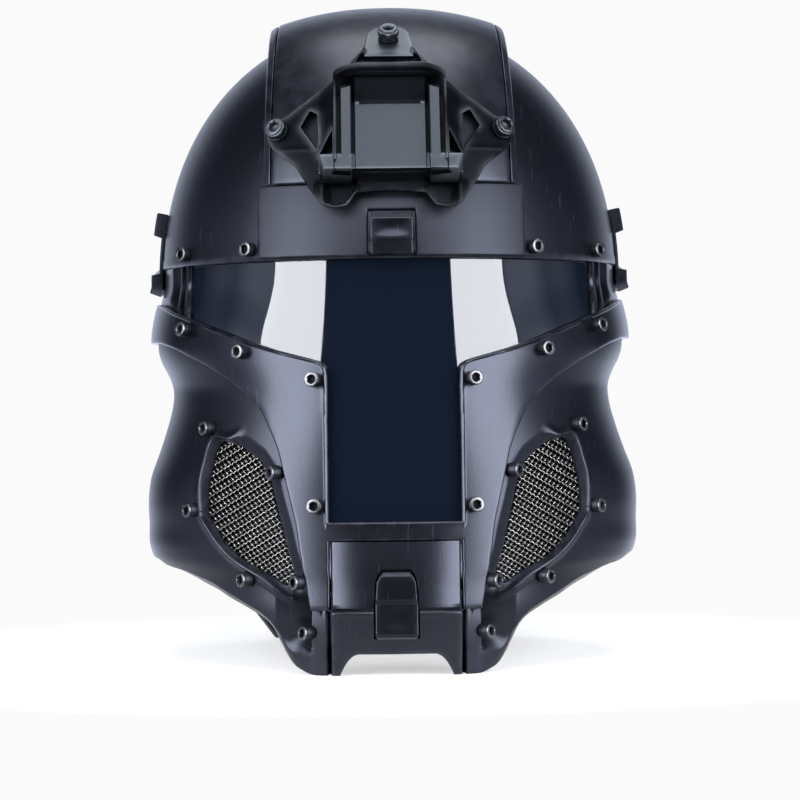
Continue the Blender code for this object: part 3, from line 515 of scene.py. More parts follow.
def brow_plate():
    """A patch of a layer over the shell, seen from the front as a rectangle with a notch. Its rows
    run from its lower edge, which jumps up over the notch, to its top."""
    side = rounded_steps(BROW_HALF - NOTCH_HALF, BROW_ROUNDING, 34) - BROW_HALF
    x = np.concatenate([side, np.linspace(-1, 1, 16) * (NOTCH_HALF - 0.0001), -side[::-1]])
    foot = np.where(np.abs(x) < NOTCH_HALF - 5e-5, NOTCH_TOP, BROW_FOOT)
    z = foot + rounded_steps(BROW_TOP - foot, BROW_ROUNDING, 26).T
    x = x + 0 * z
    corners = ((BROW_HALF, BROW_TOP), (BROW_HALF, BROW_FOOT),
               (NOTCH_HALF, BROW_FOOT), (NOTCH_HALF, NOTCH_TOP))
    gap = gap_from(joined(np.array(both_sides(corners))), np.stack([x, z], -1))
    face = under(on_crown, x, z, rounding(gap, BROW_ROUNDING) - BROW_PROUD)
    return face, under(on_crown, x, z, -SEAT_GAP), gap


PLATE_RUBBED = (0.018, 0.019, 0.025, 1.0)
brow_plastic = moulded_plastic("brow plastic", SHELL_BLACK, PLATE_RUBBED, 0.46, 0.06, 1.40)
moulded_piece("brow_plate", [brow_plate()], brow_plastic, "plate_black")


# ---- Mount for a night-vision device -------------------------------------------------------
# A cast skeleton plate, painted black, bolted through the band at three corners. In its
# middle stands a frame with a dovetail channel, open below, that a device slides up into.

# Right half of the outline and of the window above the frame, and the holes in one arm, x and z.
MOUNT_OUTLINE = (
    (0.0, 0.3385), (0.007, 0.338), (0.011, 0.3345), (0.0132, 0.3245), (0.029, 0.3065),
    (0.0545, 0.2868), (0.06, 0.2858), (0.0636, 0.2822), (0.0636, 0.276), (0.061, 0.2705),
    (0.0489, 0.2606), (0.0416, 0.2484), (0.036, 0.2406), (0.029, 0.2384), (0.0226, 0.2394),
    (0.0179, 0.2461), (0.0, 0.2468),
)
TOP_WINDOW = (
    (0.0, 0.3196), (0.0128, 0.3196), (0.0131, 0.325), (0.0176, 0.3166), (0.0, 0.3162),
)
SIDE_WINDOW = (
    (0.0412, 0.29), (0.0463, 0.2813), (0.0378, 0.269), (0.0368, 0.274), (0.0374, 0.288),
)
GUSSET_POCKET = ((0.0297, 0.2785), (0.0368, 0.2658), (0.0297, 0.2658))
FRAME_MIDDLE = np.array((0.0, HEAD_TO_BOX - 0.1262, 0.2815))
FRAME_TILT = math.radians(29.0)
FRAME_HALF = 0.0291
FRAME_LENGTH = 0.0590
FRAME_FOOT_Z = 0.2566
CAST_ROUNDING = 0.0006
ARM_PROUD = 0.0040


def eased(corners, step, rounds, closed=False):
    """A line of evenly spaced points through corners, eased by averaging each point with its
    neighbours."""
    corners = np.asarray(corners, float)
    if closed:
        corners = joined(corners)
    way = np.append(0, np.cumsum(np.linalg.norm(np.diff(corners, axis=0), axis=1)))
    at = np.linspace(0, way[-1], max(int(way[-1] / step), 4))
    line = np.stack([np.interp(at, way, column) for column in corners.T], 1)
    if closed:
        line = line[:-1]
    for _ in range(rounds):
        mean = (np.roll(line, 1, axis=0) + 2 * line + np.roll(line, -1, axis=0)) / 4
        line = mean if closed else np.vstack([line[:1], mean[1:-1], line[-1:]])
    return line


def within(line, points):
    """Whether each point lies inside a closed line: a ray to the right crosses it an odd number
    of times."""
    x, z = points[..., 0, None], points[..., 1, None]
    x0, z0 = line.T
    x1, z1 = np.roll(line, -1, axis=0).T
    rise = np.where(z1 == z0, 1.0, z1 - z0)
    crosses = ((z0 > z) != (z1 > z)) & (x < (x1 - x0) * (z - z0) / rise + x0)
    return crosses.sum(-1) % 2 == 1


def cut_sheet(outline, holes, radius, spacing):
    """A flat sheet with holes: points, triangles and distances from the outline and from the
    nearest hole. Four rows of points follow every edge over its rounding, a lattice fills the
    rest, and a Delaunay net joins them."""

    def on_sheet(points):
        return within(outline, points) & ~np.any([within(hole, points) for hole in holes], axis=0)

    loops, rows, edges = [outline] + holes, [], []
    steps = [1 - math.cos(math.radians(angle)) for angle in (22.5, 45, 67.5, 90)]
    for number, loop in enumerate(loops):
        ahead = np.roll(loop, -1, axis=0) - np.roll(loop, 1, axis=0)
        ahead /= np.linalg.norm(ahead, axis=1, keepdims=True)
        inward = np.stack([ahead[:, 1], -ahead[:, 0]], 1)
        leads_in = within(loop, loop + inward * 2e-4).mean() > 0.5
        inward *= 1 if leads_in == (number == 0) else -1
        start = sum(len(row) for row in rows)
        edges += [(start + i, start + (i + 1) % len(loop)) for i in range(len(loop))]
        rows += [loop] + [loop + inward * radius * step for step in steps]
    low, high = outline.min(axis=0), outline.max(axis=0)
    x, z = np.meshgrid(np.arange(low[0], high[0], spacing), np.arange(low[1], high[1], spacing))
    x[::2] += spacing / 2
    lattice = np.stack([x, z], -1)
    borders = [joined(loop) for loop in loops]
    clear = np.min([gap_from(border, lattice) for border in borders], axis=0)
    inside = (clear > radius + 0.4 * spacing) & on_sheet(lattice)
    points = [Vector(point) for point in np.vstack(rows + [lattice[inside]])]
    net = delaunay_2d_cdt(points, edges, [], 0, 1e-7)
    points, faces = np.array([tuple(point) for point in net[0]]), np.array(net[2])
    faces = faces[on_sheet(points[faces].mean(axis=1))][:, [0, 1, 2, 2]]
    from_outline, *from_holes = (gap_from(border, points[None])[0] for border in borders)
    return points, faces, from_outline, np.min(from_holes, axis=0)


def in_frame(across, along, out):
    """Point in the frame's own axes: across the helmet, up along the tilted frame, and out of
    its face."""
    along_axis = np.array((0.0, math.sin(FRAME_TILT), math.cos(FRAME_TILT)))
    out_axis = np.array((0.0, -math.cos(FRAME_TILT), math.sin(FRAME_TILT)))
    across, along, out = (part[..., None] for part in np.broadcast_arrays(across, along, out))
    return FRAME_MIDDLE + across * (1.0, 0.0, 0.0) + along * along_axis + out * out_axis


def mount_plate():
    """The skeleton: a sheet 4 mm over the band that climbs to the frame's rim over its last few
    millimetres, with a window above the frame, one in each arm, a pocket beside each foot, and a
    raised lip round all of them. Inside the frame it stays under the channel's floor."""
    outline = eased(both_sides(MOUNT_OUTLINE), 0.0008, 3, closed=True)
    openings = [both_sides(TOP_WINDOW)]
    for sign in (1, -1):
        openings += [np.array(corners) * (sign, 1) for corners in (SIDE_WINDOW, GUSSET_POCKET)]
    holes = [eased(corners, 0.0006, 1, closed=True) for corners in openings]
    points, faces, from_outline, from_hole = cut_sheet(outline, holes, CAST_ROUNDING, 0.0010)
    gap = np.minimum(from_outline, from_hole)
    x, z = points.T
    aside = np.abs(x)
    # The rim's level beside and above the frame, the floor's below it, and the blocks' at the feet.
    foot_out = np.interp(aside, (0.0185, 0.0205, 0.0345, 0.0385), (0.0040, 0.0127, 0.0127, 0.0040))
    out = np.where(z < FRAME_FOOT_Z, foot_out, 0.0141)
    along = (z - FRAME_MIDDLE[2] - out * math.sin(FRAME_TILT)) / math.cos(FRAME_TILT)
    frame_y = in_frame(x, along, out)[:, 1]
    past_frame = ((aside - 0.0288) / 0.0072, (z - 0.3078) / 0.0080, (FRAME_FOOT_Z - z) / 0.0050)
    rise = np.clip(1 - np.max(past_frame, axis=0), 0, 1) * slope(from_outline, 0.0, 0.0040)
    scored_line = 0.0005 * bell(z, 0.2698, 0.0007) * slope(aside, 0.038, 0.041)
    lip = 0.0011 * bell(from_hole, 0.0, 0.0011) + scored_line
    leg = slope(aside, 0.0160, 0.0176) * slope(0.0400 - aside, 0.0, 0.0040)
    leg = leg * slope(0.2530 - z, 0.0, 0.0030)
    depth = rounding(gap, CAST_ROUNDING) - ARM_PROUD - lip - 0.0044 * leg
    arm_y = under(on_band, x, z, depth)[:, 1]
    inside = slope(0.0284 - aside, 0.0, 0.0008) * slope(z - 0.2574, 0.0, 0.0008)
    inside = inside * slope(0.3070 - z, 0.0, 0.0008)
    under_y = under(on_band, x, z, -0.0010)[:, 1]
    y = arm_y + (frame_y - lip * 0.6 - arm_y) * rise
    y = y + (under_y - y) * inside
    # Two legs, hollow from below.
    feet = slope(aside, 0.0176, 0.0184) * slope(0.0345 - aside, 0.0, 0.0010)
    feet = feet * slope(0.2535 - z, 0.0, 0.0010) * slope(from_outline, 0.0012, 0.0018)
    y = y + (under_y - y) * feet
    back = under(on_band, x, z, -SEAT_GAP)
    return np.stack([x, np.minimum(y, back[:, 1] - 0.0005), z], -1), back, gap, faces


# Half width and height of the channel's section, from beside its floor to the rim's outer side.
CHANNEL = (
    (0.0184, 0.0034), (0.0198, 0.0034), (0.0199, 0.0122), (0.0201, 0.0128), (0.0205, 0.0131),
    (0.0251, 0.0131), (0.0255, 0.0128), (0.0257, 0.0122), (0.0258, 0.0075), (0.0275, 0.0075),
    (0.0276, 0.0143), (0.0278, 0.015), (0.028, 0.0153), (0.0286, 0.0153), (0.0288, 0.015),
    (0.029, 0.0143), (0.0291, 0.013),
)
# Distance down from the top and height of the bar over the channel, and of the rim's corner.
BAR = (
    (0.0, 0.013), (0.0001, 0.0143), (0.0003, 0.015), (0.0007, 0.0153), (0.003, 0.0153),
    (0.0034, 0.015), (0.0037, 0.0143), (0.0038, 0.0122),
)
RIM_CORNER = ((0.0284, 0.0153), (0.0288, 0.0150), (0.0290, 0.0143), (0.0291, 0.0130))
BAR_WIDTH = 0.0038
FLOOR_HEIGHT = 0.0042
FLOOR_HALF = 0.0180
LANDING_HEIGHT = 0.0050
HOOD_END = 0.0278


def mount_frame():
    """The channel frame as a height over its own tilted plane: a thin rim round three sides, a
    dark groove, a flat landing on each side and the floor between them, which slopes up to the
    top bar. The lower end is open."""
    half, out = np.array(CHANNEL).T
    half = np.concatenate([np.linspace(0, FLOOR_HALF, 18), half])
    out = np.concatenate([np.full(18, FLOOR_HEIGHT), out])
    across, out = np.concatenate([-half[::-1], half[1:]]), np.concatenate([out[::-1], out[1:]])
    aside = np.abs(across)
    top = FRAME_LENGTH / 2 - 0.0058 * (aside / FRAME_HALF) ** 6
    over_hood, below = np.linspace(0, 0.0240, 17)[1:], np.linspace(HOOD_END, FRAME_LENGTH, 22)[1:]
    down = np.concatenate([np.array(BAR)[:, 0], BAR_WIDTH + over_hood, below])[:, None]
    step = (FRAME_LENGTH / 2 + top - HOOD_END) / (FRAME_LENGTH - HOOD_END)
    rows = np.where(down < HOOD_END, top - down, top - HOOD_END - (down - HOOD_END) * step)
    hood = 0.0080 * np.clip(1 - (down - BAR_WIDTH) / 0.0140, 0, 1)
    landing = LANDING_HEIGHT + (out - LANDING_HEIGHT) * slope(down, 0.0118, 0.0122)
    height = np.where(aside < 0.0198, out + hood, np.where(aside < 0.0259, landing, out))
    corner, bar = np.interp(aside, *np.transpose(RIM_CORNER)), np.interp(down, *np.transpose(BAR))
    height = np.where(down < BAR_WIDTH + 5e-5, np.minimum(bar, corner), height)
    rows, height = rows[::-1], height[::-1]
    from_foot = rows + FRAME_LENGTH / 2
    height = height - rounding(from_foot, CAST_ROUNDING)
    gap = np.maximum(np.minimum(np.minimum(FRAME_HALF - aside, top - rows), from_foot), 0)
    across = across + 0 * rows
    return in_frame(across, rows, height), in_frame(across, rows, -0.0060), gap


def mount_foot():
    """The right flat block beside the channel's lower end, narrower towards its foot, with eased
    edges."""
    along = -FRAME_LENGTH / 2 - 0.0052 + rounded_steps(0.0090, 0.0005, 6)[:, None]
    share = np.array((0.0, 0.2, 0.4, 0.6, 0.8, 0.93, 0.96, 0.98, 0.993, 1.0))
    outer = 0.0366 - 0.0026 * np.clip((-0.0262 - along) / 0.0085, 0, 1)
    across = 0.0200 + (outer - 0.0200) * share
    from_side, from_end = outer - across, np.minimum(along - along[0], along[-1] - along)
    out = 0.0131 - rounding(from_side, CAST_ROUNDING) - rounding(from_end, CAST_ROUNDING)
    gap = np.minimum(from_side, from_end)
    return in_frame(across, along, out), in_frame(across, along, -0.0010), gap


def black_paint(name, index, gloss):
    """Black paint on a casting: orange-peel waves, fine pores, and paler rubbed edges."""
    constants = {"IOR": index, "Specular Tint": (0.76, 0.86, 1.0, 1.0)}
    material, shader, place = new_material(name, constants)
    cloud, peel = place.noise(30.0, 4.0), place.noise(700.0, 2.0)
    pores = place.node("TexVoronoi", inputs={"Vector": place, "Scale": 1100.0})
    rub = place.wear_and_shade() * cloud.over(0.35, 0.65)
    feed(shader, {
        "Base Color": rub.mix((0.0014, 0.0017, 0.0024, 1.0), (0.070, 0.075, 0.085, 1.0)),
        "Roughness": gloss + (cloud - 0.5) * 0.10 - rub * 0.08,
        "Normal": (peel + pores * 0.4).bump(0.10, GRAIN_DEPTH),
    })
    return material


satin_paint = black_paint("satin paint", 1.56, 0.36)
# The matt copy reflects far less: it is painted shade, on the mount's shaded parts and in the
# screws' sockets.
shading_matt_paint = black_paint("matt paint as painted shade", 1.13, 0.40)
block = mount_foot()
mount = slab("shroud_mount_cast", [mount_plate(), mount_frame(), block, mirrored(*block)], 25.0)
finish_piece(mount, shading_matt_paint, "shell", "shroud_black", "shroud_mount")
# The channel's floor and landings, the blocks and the top tab are satin. All the rest gets the
# duller matt copy of the same paint, as painted shade.
mount.data.materials.append(satin_paint)
middles = np.empty(3 * len(mount.data.polygons), np.float32)
mount.data.polygons.foreach_get("center", middles)
aside, _, z = np.abs(middles.reshape(-1, 3).T)
lit_faces = (aside < FLOOR_HALF) & (z > 0.2562) & (z < 0.2935)
lit_faces |= (aside > 0.0199) & (aside < 0.0258) & (z > 0.2562) & (z < 0.3045)
lit_faces |= (aside < 0.0368) & (z > 0.2564) & (z < 0.2658) | (aside < 0.0122) & (z > 0.3196)
mount.data.polygons.foreach_set("material_index", lit_faces.astype(np.int32))


# ---- Bolts of the mount --------------------------------------------------------------------
# Three black steel cap bolts with knurled barrels hold the mount to the band. A rounded ring
# stands round each hexagon socket, and a thin washer lies under the barrel.

# Name, x and z of each bolt's foot.
MOUNT_BOLTS = (
    ("shroud_bolt_top", 0.0, 0.331), ("shroud_bolt_R", 0.0577, 0.2795),
    ("shroud_bolt_L", -0.0577, 0.2795),
)
BOLT_HEIGHT = 0.0062
BOLT_SEAT = 0.0046


def cap_solid(name, rows, foot, axis, around, knurls=0):
    """A cap screw: rows of radius, height, how far the outline is a hexagon and whether it is
    knurled, carried round its axis, on which they start and end. A hexagon's radius is its
    flat's divided by cos of the angle from the flat's middle, and knurls go in and out by a
    sine. Only the rows at the top's level are near an edge."""
    radius, height, hexagon, knurled = np.array(rows).T[..., None]
    edge = 0.0006 + 0.01 * (np.abs(height - rows[-3][1]) > 0.0012)
    angle = np.linspace(0, 2 * math.pi, around + 1)
    flat = 1 / np.cos((angle + math.pi / 6) % (math.pi / 3) - math.pi / 6)
    reach = radius * (1 + hexagon * (flat - 1)) * (1 + 0.035 * knurled * np.sin(knurls * angle))
    axis = np.asarray(axis, float) / np.linalg.norm(axis)
    side = np.cross(axis, (0.0, 0.0, 1.0))
    side /= np.linalg.norm(side)
    parts = ((height + 0 * angle, axis), (reach * np.cos(angle), side),
             (reach * np.sin(angle), np.cross(axis, side)))
    points = foot + sum(part[..., None] * way for part, way in parts)
    points[:, -1] = points[:, 0]
    wear_and_shade = np.exp(-(edge + 0 * points[..., 0]).ravel() / WEAR_REACH)
    flat = points.reshape(-1, 3)
    kept, _, whole, corners = weld(flat, grid_quads(*points.shape[:2]), 7)
    return new_piece(name, flat[kept], whole.tolist() + corners.tolist(), wear_and_shade[kept], 34.0)


BOLT_ROWS = (
    (0.0, 0.0, 0, 0), (0.0052, 0.0, 0, 0), (0.0054, 0.0002, 0, 0), (0.0054, 0.0008, 0, 0),
    (0.0045, 0.001, 0, 0), (0.0045, 0.0016, 0, 0), (0.0051, 0.0019, 0, 1),
    (0.0054, 0.0023, 0, 1), (0.0054, 0.0044, 0, 1), (0.0051, 0.0048, 0, 1),
    (0.0047, 0.0049, 0, 0), (0.0047, 0.0055, 0, 0), (0.0045, 0.006, 0, 0),
    (0.0041, BOLT_HEIGHT, 0, 0), (0.0033, BOLT_HEIGHT, 0, 0), (0.0029, 0.006, 1, 0),
    (0.0027, 0.0057, 1, 0), (0.0026, 0.003, 1, 0), (0.0, 0.0024, 0, 0),
)
for name, x, z in MOUNT_BOLTS:
    foot = under(on_band, x, z, -BOLT_SEAT)
    beside = under(on_band, x + 0.001, z, -BOLT_SEAT)
    above = under(on_band, x, z + 0.001, -BOLT_SEAT)
    axis = np.cross(beside - foot, above - foot)
    bolt = cap_solid(f"{name}_turned", BOLT_ROWS, foot, axis, 96, 24)
    finish_piece(bolt, satin_paint, "shell", "shroud_black", name)


# ---- Side rails ----------------------------------------------------------------------------
# A bowed accessory rail lies along each ear, moulded with a channel down its middle and with
# notches along both edges, so that a lamp's foot can be slid in and stopped at any of them.

# Turn in degrees, foot and top of the rail.
RAIL_SHAPE = np.array((
    (84.0, 0.1985, 0.244), (92.0, 0.2, 0.2445), (104.0, 0.209, 0.245),
    (118.0, 0.22, 0.244), (126.0, 0.226, 0.24),
))
RAIL_SLOPES = np.gradient(RAIL_SHAPE[:, 1:], RAIL_SHAPE[:, 0], axis=0)
RAIL_SLOPES[-1] = 0.0
RAIL_WALL = 0.0062
RAIL_ROUNDING = 0.0009
NOTCH_PITCH = 2.2
AROUND = 0.135


def side_rail():
    """A patch over the skin from turn to turn and from foot to top. Across it the height is a
    ridge, a channel and a ridge. Along it both ridges are notched by a raised cosine."""
    turns = np.linspace(RAIL_SHAPE[0, 0], RAIL_SHAPE[-1, 0], 150)
    foot, top = blend_rows(RAIL_SHAPE, turns, RAIL_SLOPES).T[:, None, :]
    width = (top - foot)[0]
    share = (rounded_steps(width, RAIL_ROUNDING, 40) / width[:, None]).T
    z = foot + width * share
    from_middle = np.abs(share - 0.5) * width
    end = np.radians(np.minimum(turns - turns[0], turns[-1] - turns)) * AROUND
    gap = np.minimum(0.5 * width - from_middle, end)
    from_groove = from_middle - 0.23 * width
    channel = 1 - slope(from_groove, -0.0002, 0.0002)
    step = 0.5 + 0.5 * np.cos((turns - turns[0]) * math.pi / NOTCH_PITCH)
    notch = slope(step, 0.62, 0.78) * slope(from_groove, 0.0022, 0.0026) * slope(end, 0.002, 0.003)
    proud = SEAT_GAP + RAIL_WALL - 0.0044 * channel - 0.0013 * notch
    turn = np.radians(turns) + 0 * z
    return skin(turn, z, rounding(gap, RAIL_ROUNDING) - proud), skin(turn, z, -SEAT_GAP), gap


PLATE_BLACK = (0.0014, 0.0016, 0.0026, 1.0)
plate_plastic = moulded_plastic("plate plastic", PLATE_BLACK, PLATE_RUBBED, 0.27, 0.06, 1.47)
moulded_pair("side_rail", side_rail(), plate_plastic, "plate_black")


# ---- Lens ----------------------------------------------------------------------------------
# One sheet of dark blue smoked polycarbonate in the shape of a T, hard coated and glossy. It is
# clamped between the shell's rim, the temples and the face plate.

LENS_WALL = 0.0022
LENS_TOP = 0.2215
LENS_END = 0.1045
STEM_HALF = 0.0395
STEM_FOOT = 0.0735
CROSS_FOOT = 0.1535
# Height of the face plate's opening under the wings, from the nose to the temple.
OPENING_EDGE = (
    (0.0342, 0.156), (0.0353, 0.1593), (0.0385, 0.1611), (0.045, 0.1627), (0.061, 0.167),
    (0.0794, 0.1733), (0.0975, 0.1806), (0.116, 0.1886), (0.1245, 0.1938),
)


def seen_at(x, z, depth):
    """Turn and height of the point at a depth under the skin that is seen from the front at x, z.
    It starts from the skin's own x and corrects it eight times by what is missing."""
    aim_x, aim_z = np.broadcast_arrays(np.asarray(x, float), np.asarray(z, float))
    try_x, try_z = aim_x, aim_z
    for _ in range(9):
        share = np.clip(np.abs(try_x) / level(try_z)[0], 0.0, 1.0)
        turn = np.sign(try_x) * np.arcsin(share ** (ROUNDNESS / 2))
        point = skin(turn, try_z, depth)
        last = try_z
        try_x, try_z = try_x + aim_x - point[..., 0], try_z + aim_z - point[..., 2]
    return turn, last


# The size that the sheet's bend is reckoned in, and the powers of x and z that it is a sum of.
BEND_X = 0.11
BEND_Z = (0.15, 0.075)
BEND_POWERS = np.array([(2 * i, j) for i in range(6) for j in range(4)])
SET_BACK = 0.0006


def bend_terms(x, z):
    """Every product of a power of x and a power of z, both as shares of the sheet's size."""
    x, z = np.abs(x)[..., None] / BEND_X, (z[..., None] - BEND_Z[0]) / BEND_Z[1]
    return x ** BEND_POWERS[:, 0] * z ** BEND_POWERS[:, 1]


def visor_lens():
    """Two patches, the stem and the cross bar over it, with a shared row. The bar's lower edge
    follows the face plate's opening, 5 mm under it. Blown sheet bends evenly, so y is the
    least-squares polynomial in x and z through the layer's points, and the wall lies behind it."""
    x = np.linspace(-LENS_END, LENS_END, 121)
    x[np.abs(np.abs(x) - STEM_HALF).argsort()[:2]] = (-STEM_HALF, STEM_HALF)
    x = np.sort(x)
    edge = np.interp(np.abs(x), *np.transpose(OPENING_EDGE)) - 0.0050
    in_stem = np.abs(x) <= STEM_HALF + 1e-6
    foot = np.where(in_stem, CROSS_FOOT, np.maximum(edge, CROSS_FOOT))
    patches = [np.broadcast_arrays(x, foot + (LENS_TOP - foot) * np.linspace(0, 1, 34)[:, None]),
               np.broadcast_arrays(x[in_stem], np.linspace(STEM_FOOT, CROSS_FOOT, 40)[:, None])]
    layer = [skin(*seen_at(x, z, INNER_LAYER), INNER_LAYER).reshape(-1, 3) for x, z in patches]
    layer = np.vstack(layer)
    bend = np.linalg.lstsq(bend_terms(layer[:, 0], layer[:, 2]), layer[:, 1], rcond=None)[0]
    grids = []
    for x, z in patches:
        face = np.stack([x, bend_terms(x, z) @ bend + SET_BACK, z], -1)
        normal = np.cross(np.gradient(face, axis=1), np.gradient(face, axis=0))
        normal /= np.linalg.norm(normal, axis=-1, keepdims=True)
        grids.append((face, face - normal * LENS_WALL, 1.0))
    return grids


def smoked_sheet():
    """Dark blue smoked sheet: a clear hard coat over a dim tint, with faint wiping marks in its
    gloss."""
    constants = {"IOR": 1.52, "Coat Weight": 0.6, "Coat Roughness": 0.02, "Alpha": 0.88}
    material, shader, place = new_material("smoked lens", constants)
    wipe = place.turned((0.0, 0.5, 0.0), (14.0, 14.0, 90.0)).noise(1.0, 4.0)
    dust = place.noise(900.0, 2.0).over(0.70, 0.80)
    feed(shader, {
        "Base Color": dust.mix((0.0026, 0.0043, 0.0090, 1.0), (0.010, 0.012, 0.018, 1.0)),
        "Roughness": 0.025 + wipe.over(0.5, 0.8) * 0.05 + dust * 0.10,
    })
    return material


lens = slab("visor_lens_sheet", visor_lens())
finish_piece(lens, smoked_sheet(), "shell", "lens_smoke", "visor_lens")


# ---- Temples -------------------------------------------------------------------------------
# A moulded post closes each end of the lens and carries the wing of the face plate. Two upright
# ribs stand beside the lens, with a groove between them that the sheet's end is pushed into.

TEMPLE_FRONT = 0.1062
TEMPLE_FOOT = 0.1835
TEMPLE_TOP = 0.2215
TEMPLE_ROUNDING = 0.0008
TEMPLE_REAR = math.radians(98.0)
GUARD_WALL = 0.0030
GUARD_BACK = INNER_LAYER + GUARD_WALL


def temple():
    """A patch at the lens's depth from the lens's end round to the ear. Its height is a sum of two
    rounded ribs and a groove, placed by the distance round it from its front edge."""
    z = TEMPLE_FOOT + rounded_steps(TEMPLE_TOP - TEMPLE_FOOT, TEMPLE_ROUNDING, 18)[:, None]
    front = seen_at(TEMPLE_FRONT + 0 * z, z, INNER_LAYER)[0]
    ribbed = rounded_steps(0.0260, TEMPLE_ROUNDING, 70)[:-5]
    way = np.concatenate([ribbed, np.linspace(0.0256, 0.11, 40)[1:]])
    # The rear edge follows the skirt's slanted edge.
    rear = np.radians(np.interp(z, SKIRT_EDGE[3:1:-1, 1], SKIRT_EDGE[3:1:-1, 0]) - 0.3)
    turn = front + (rear - front) * way / way[-1]
    wide = slope(way, 0.0004, 0.0012) - slope(way, 0.0052, 0.0064)
    groove = slope(way, 0.0060, 0.0068) - slope(way, 0.0094, 0.0102)
    rib = slope(way, 0.0096, 0.0104) - slope(way, 0.0128, 0.0138)
    height = 0.0014 * wide - 0.0012 * groove + 0.0022 * rib
    # Behind the ribs, and above the wing, it rises until it is almost flush with the shell.
    height = height + 0.0028 * slope(way, 0.0150, 0.0300) * slope(z, 0.1900, 0.1970)
    gap = np.minimum(way, np.minimum(z - TEMPLE_FOOT, TEMPLE_TOP - z))
    gap = np.minimum(gap, 0.0006 + 0.02 * (1 - np.maximum(wide, rib)))
    return skin(turn, z, INNER_LAYER - height), skin(turn, z, GUARD_BACK), gap


moulded_pair("temple", temple(), plate_plastic, "plate_black")


# ---- Face plate ----------------------------------------------------------------------------
# A glossier plate clamps the lens with eight cap screws: two wings under the eyes, two legs
# beside the nose, and a bar under the lens. A fine raised bead runs round the opening.

# Opening x and z, outer edge x and z, of each rib across the right half, from the temple down.
PLATE_RIBS = (
    (0.1245, 0.1938, 0.125, 0.1722), (0.116, 0.1886, 0.1168, 0.1693),
    (0.0975, 0.1806, 0.0992, 0.1603), (0.0794, 0.1733, 0.086, 0.152),
    (0.061, 0.167, 0.077, 0.1448), (0.045, 0.1627, 0.0705, 0.1385),
    (0.0385, 0.1611, 0.0675, 0.1335), (0.0353, 0.1593, 0.0655, 0.1285),
    (0.0342, 0.156, 0.063, 0.1235), (0.0342, 0.115, 0.0598, 0.115),
    (0.0341, 0.095, 0.0551, 0.095), (0.0341, 0.0785, 0.0512, 0.0785),
    (0.0341, 0.069, 0.0499, 0.069), (0.0341, 0.0336, 0.044, 0.0336),
)
PLATE_WALL = 0.0033
PLATE_ROUNDING = 0.0010
BAR_TOP = 0.0785
BAR_FOOT = 0.0690


def line_at(places, depth):
    """A line seen from the front at x and z, as distances round the skin and heights."""
    return np.array(seen_at(*np.transpose(places), depth)).T * (AROUND, 1)


def skin_line(line):
    """The points of the skin on such a line."""
    return skin_point(*(line / (AROUND, 1)).T)


def face_plate():
    """The right half is lofted between two eased lines, the opening and the outer edge, and the bar
    fills the gap between the legs. The distance from the true outline gives the rounding and the
    bead, and the left half is the right one with x turned round."""
    ribs = np.array(PLATE_RIBS)
    share = np.linspace(0, len(ribs) - 1, 4 * len(ribs) - 3)
    ribs = np.stack([np.interp(share, np.arange(len(ribs)), column) for column in ribs.T], 1)
    rear = TEMPLE_REAR * AROUND
    rows = np.hstack([line_at(ribs[:, :2], 0.0), line_at(ribs[:, 2:], 0.0)])
    rows = np.vstack([(rear, 0.1960, rear, 0.1725), rows])
    upper = eased(rows[:38], 0.0022, 5)
    bar_z = BAR_TOP - rounded_steps(BAR_TOP - BAR_FOOT, PLATE_ROUNDING, 6)
    leg_z = rows[-1, 1] + rounded_steps(BAR_FOOT - rows[-1, 1], PLATE_ROUNDING, 18)[::-1]
    z = np.concatenate([np.linspace(upper[-1, 1], BAR_TOP, 20)[1:-1], bar_z, leg_z[1:]])
    lower = np.stack([np.interp(z, rows[:36:-1, 1], rows[:36:-1, i]) for i in range(4)], 1)
    lines = np.vstack([upper, lower])
    width = np.linalg.norm(skin_line(lines[:, :2]) - skin_line(lines[:, 2:]), axis=1)[:, None]
    bead_steps = np.array((0.0, 0.08, 0.3, 0.6, 1.0, 1.3, 1.6, 1.9, 2.3, 2.8)) * 1e-3
    even = 0.0028 + (width - 0.0038) * np.linspace(0, 1, 14)[1:]
    steps = np.concatenate([bead_steps + 0 * width, even, width - bead_steps[3::-1]], 1)
    near, far = lines[:, None, :2], lines[:, None, 2:]
    half = (near + (far - near) * (steps / width)[..., None]) / (AROUND, 1)
    first = len(upper) + 18
    last = first + len(bar_z) - 1
    bar = half[first:last + 1, :1] * np.stack([np.linspace(-1, 1, 31), np.ones(31)], 1)
    edges = ([half[:first + 1, 0], bar[0, :14:-1]], [half[:last - 1:-1, 0], bar[-1, :14:-1]],
             [half[-1], half[::-1, -1], half[0, ::-1]])
    edges = [skin_point(*np.vstack(edge).T) for edge in edges]
    grids = []
    for turn, z in np.moveaxis(half[::-1], -1, 0), np.moveaxis(bar[::-1], -1, 0):
        place = skin_point(turn, z)
        place[..., 0] = np.abs(place[..., 0])
        from_edges = [gap_from(edge, place) for edge in edges]
        gap = np.min(from_edges, axis=0)
        depth = rounding(gap, PLATE_ROUNDING) - 0.0004 * bell(from_edges[0], 0.0013, 0.0004)
        grids.append((skin(turn, z, depth), skin(turn, z, PLATE_WALL), gap))
    return grids + [mirrored(*grids[0])]


moulded_piece("face_plate", face_plate(), plate_plastic, "plate_black")


# ---- Cheek guards --------------------------------------------------------------------------
# A deeply curved panel covers each cheek and jaw, moulded in the shell's plastic and screwed to
# the inside of the face plate. Its lower rim is rolled in, and a vent is opened beside the mouth.

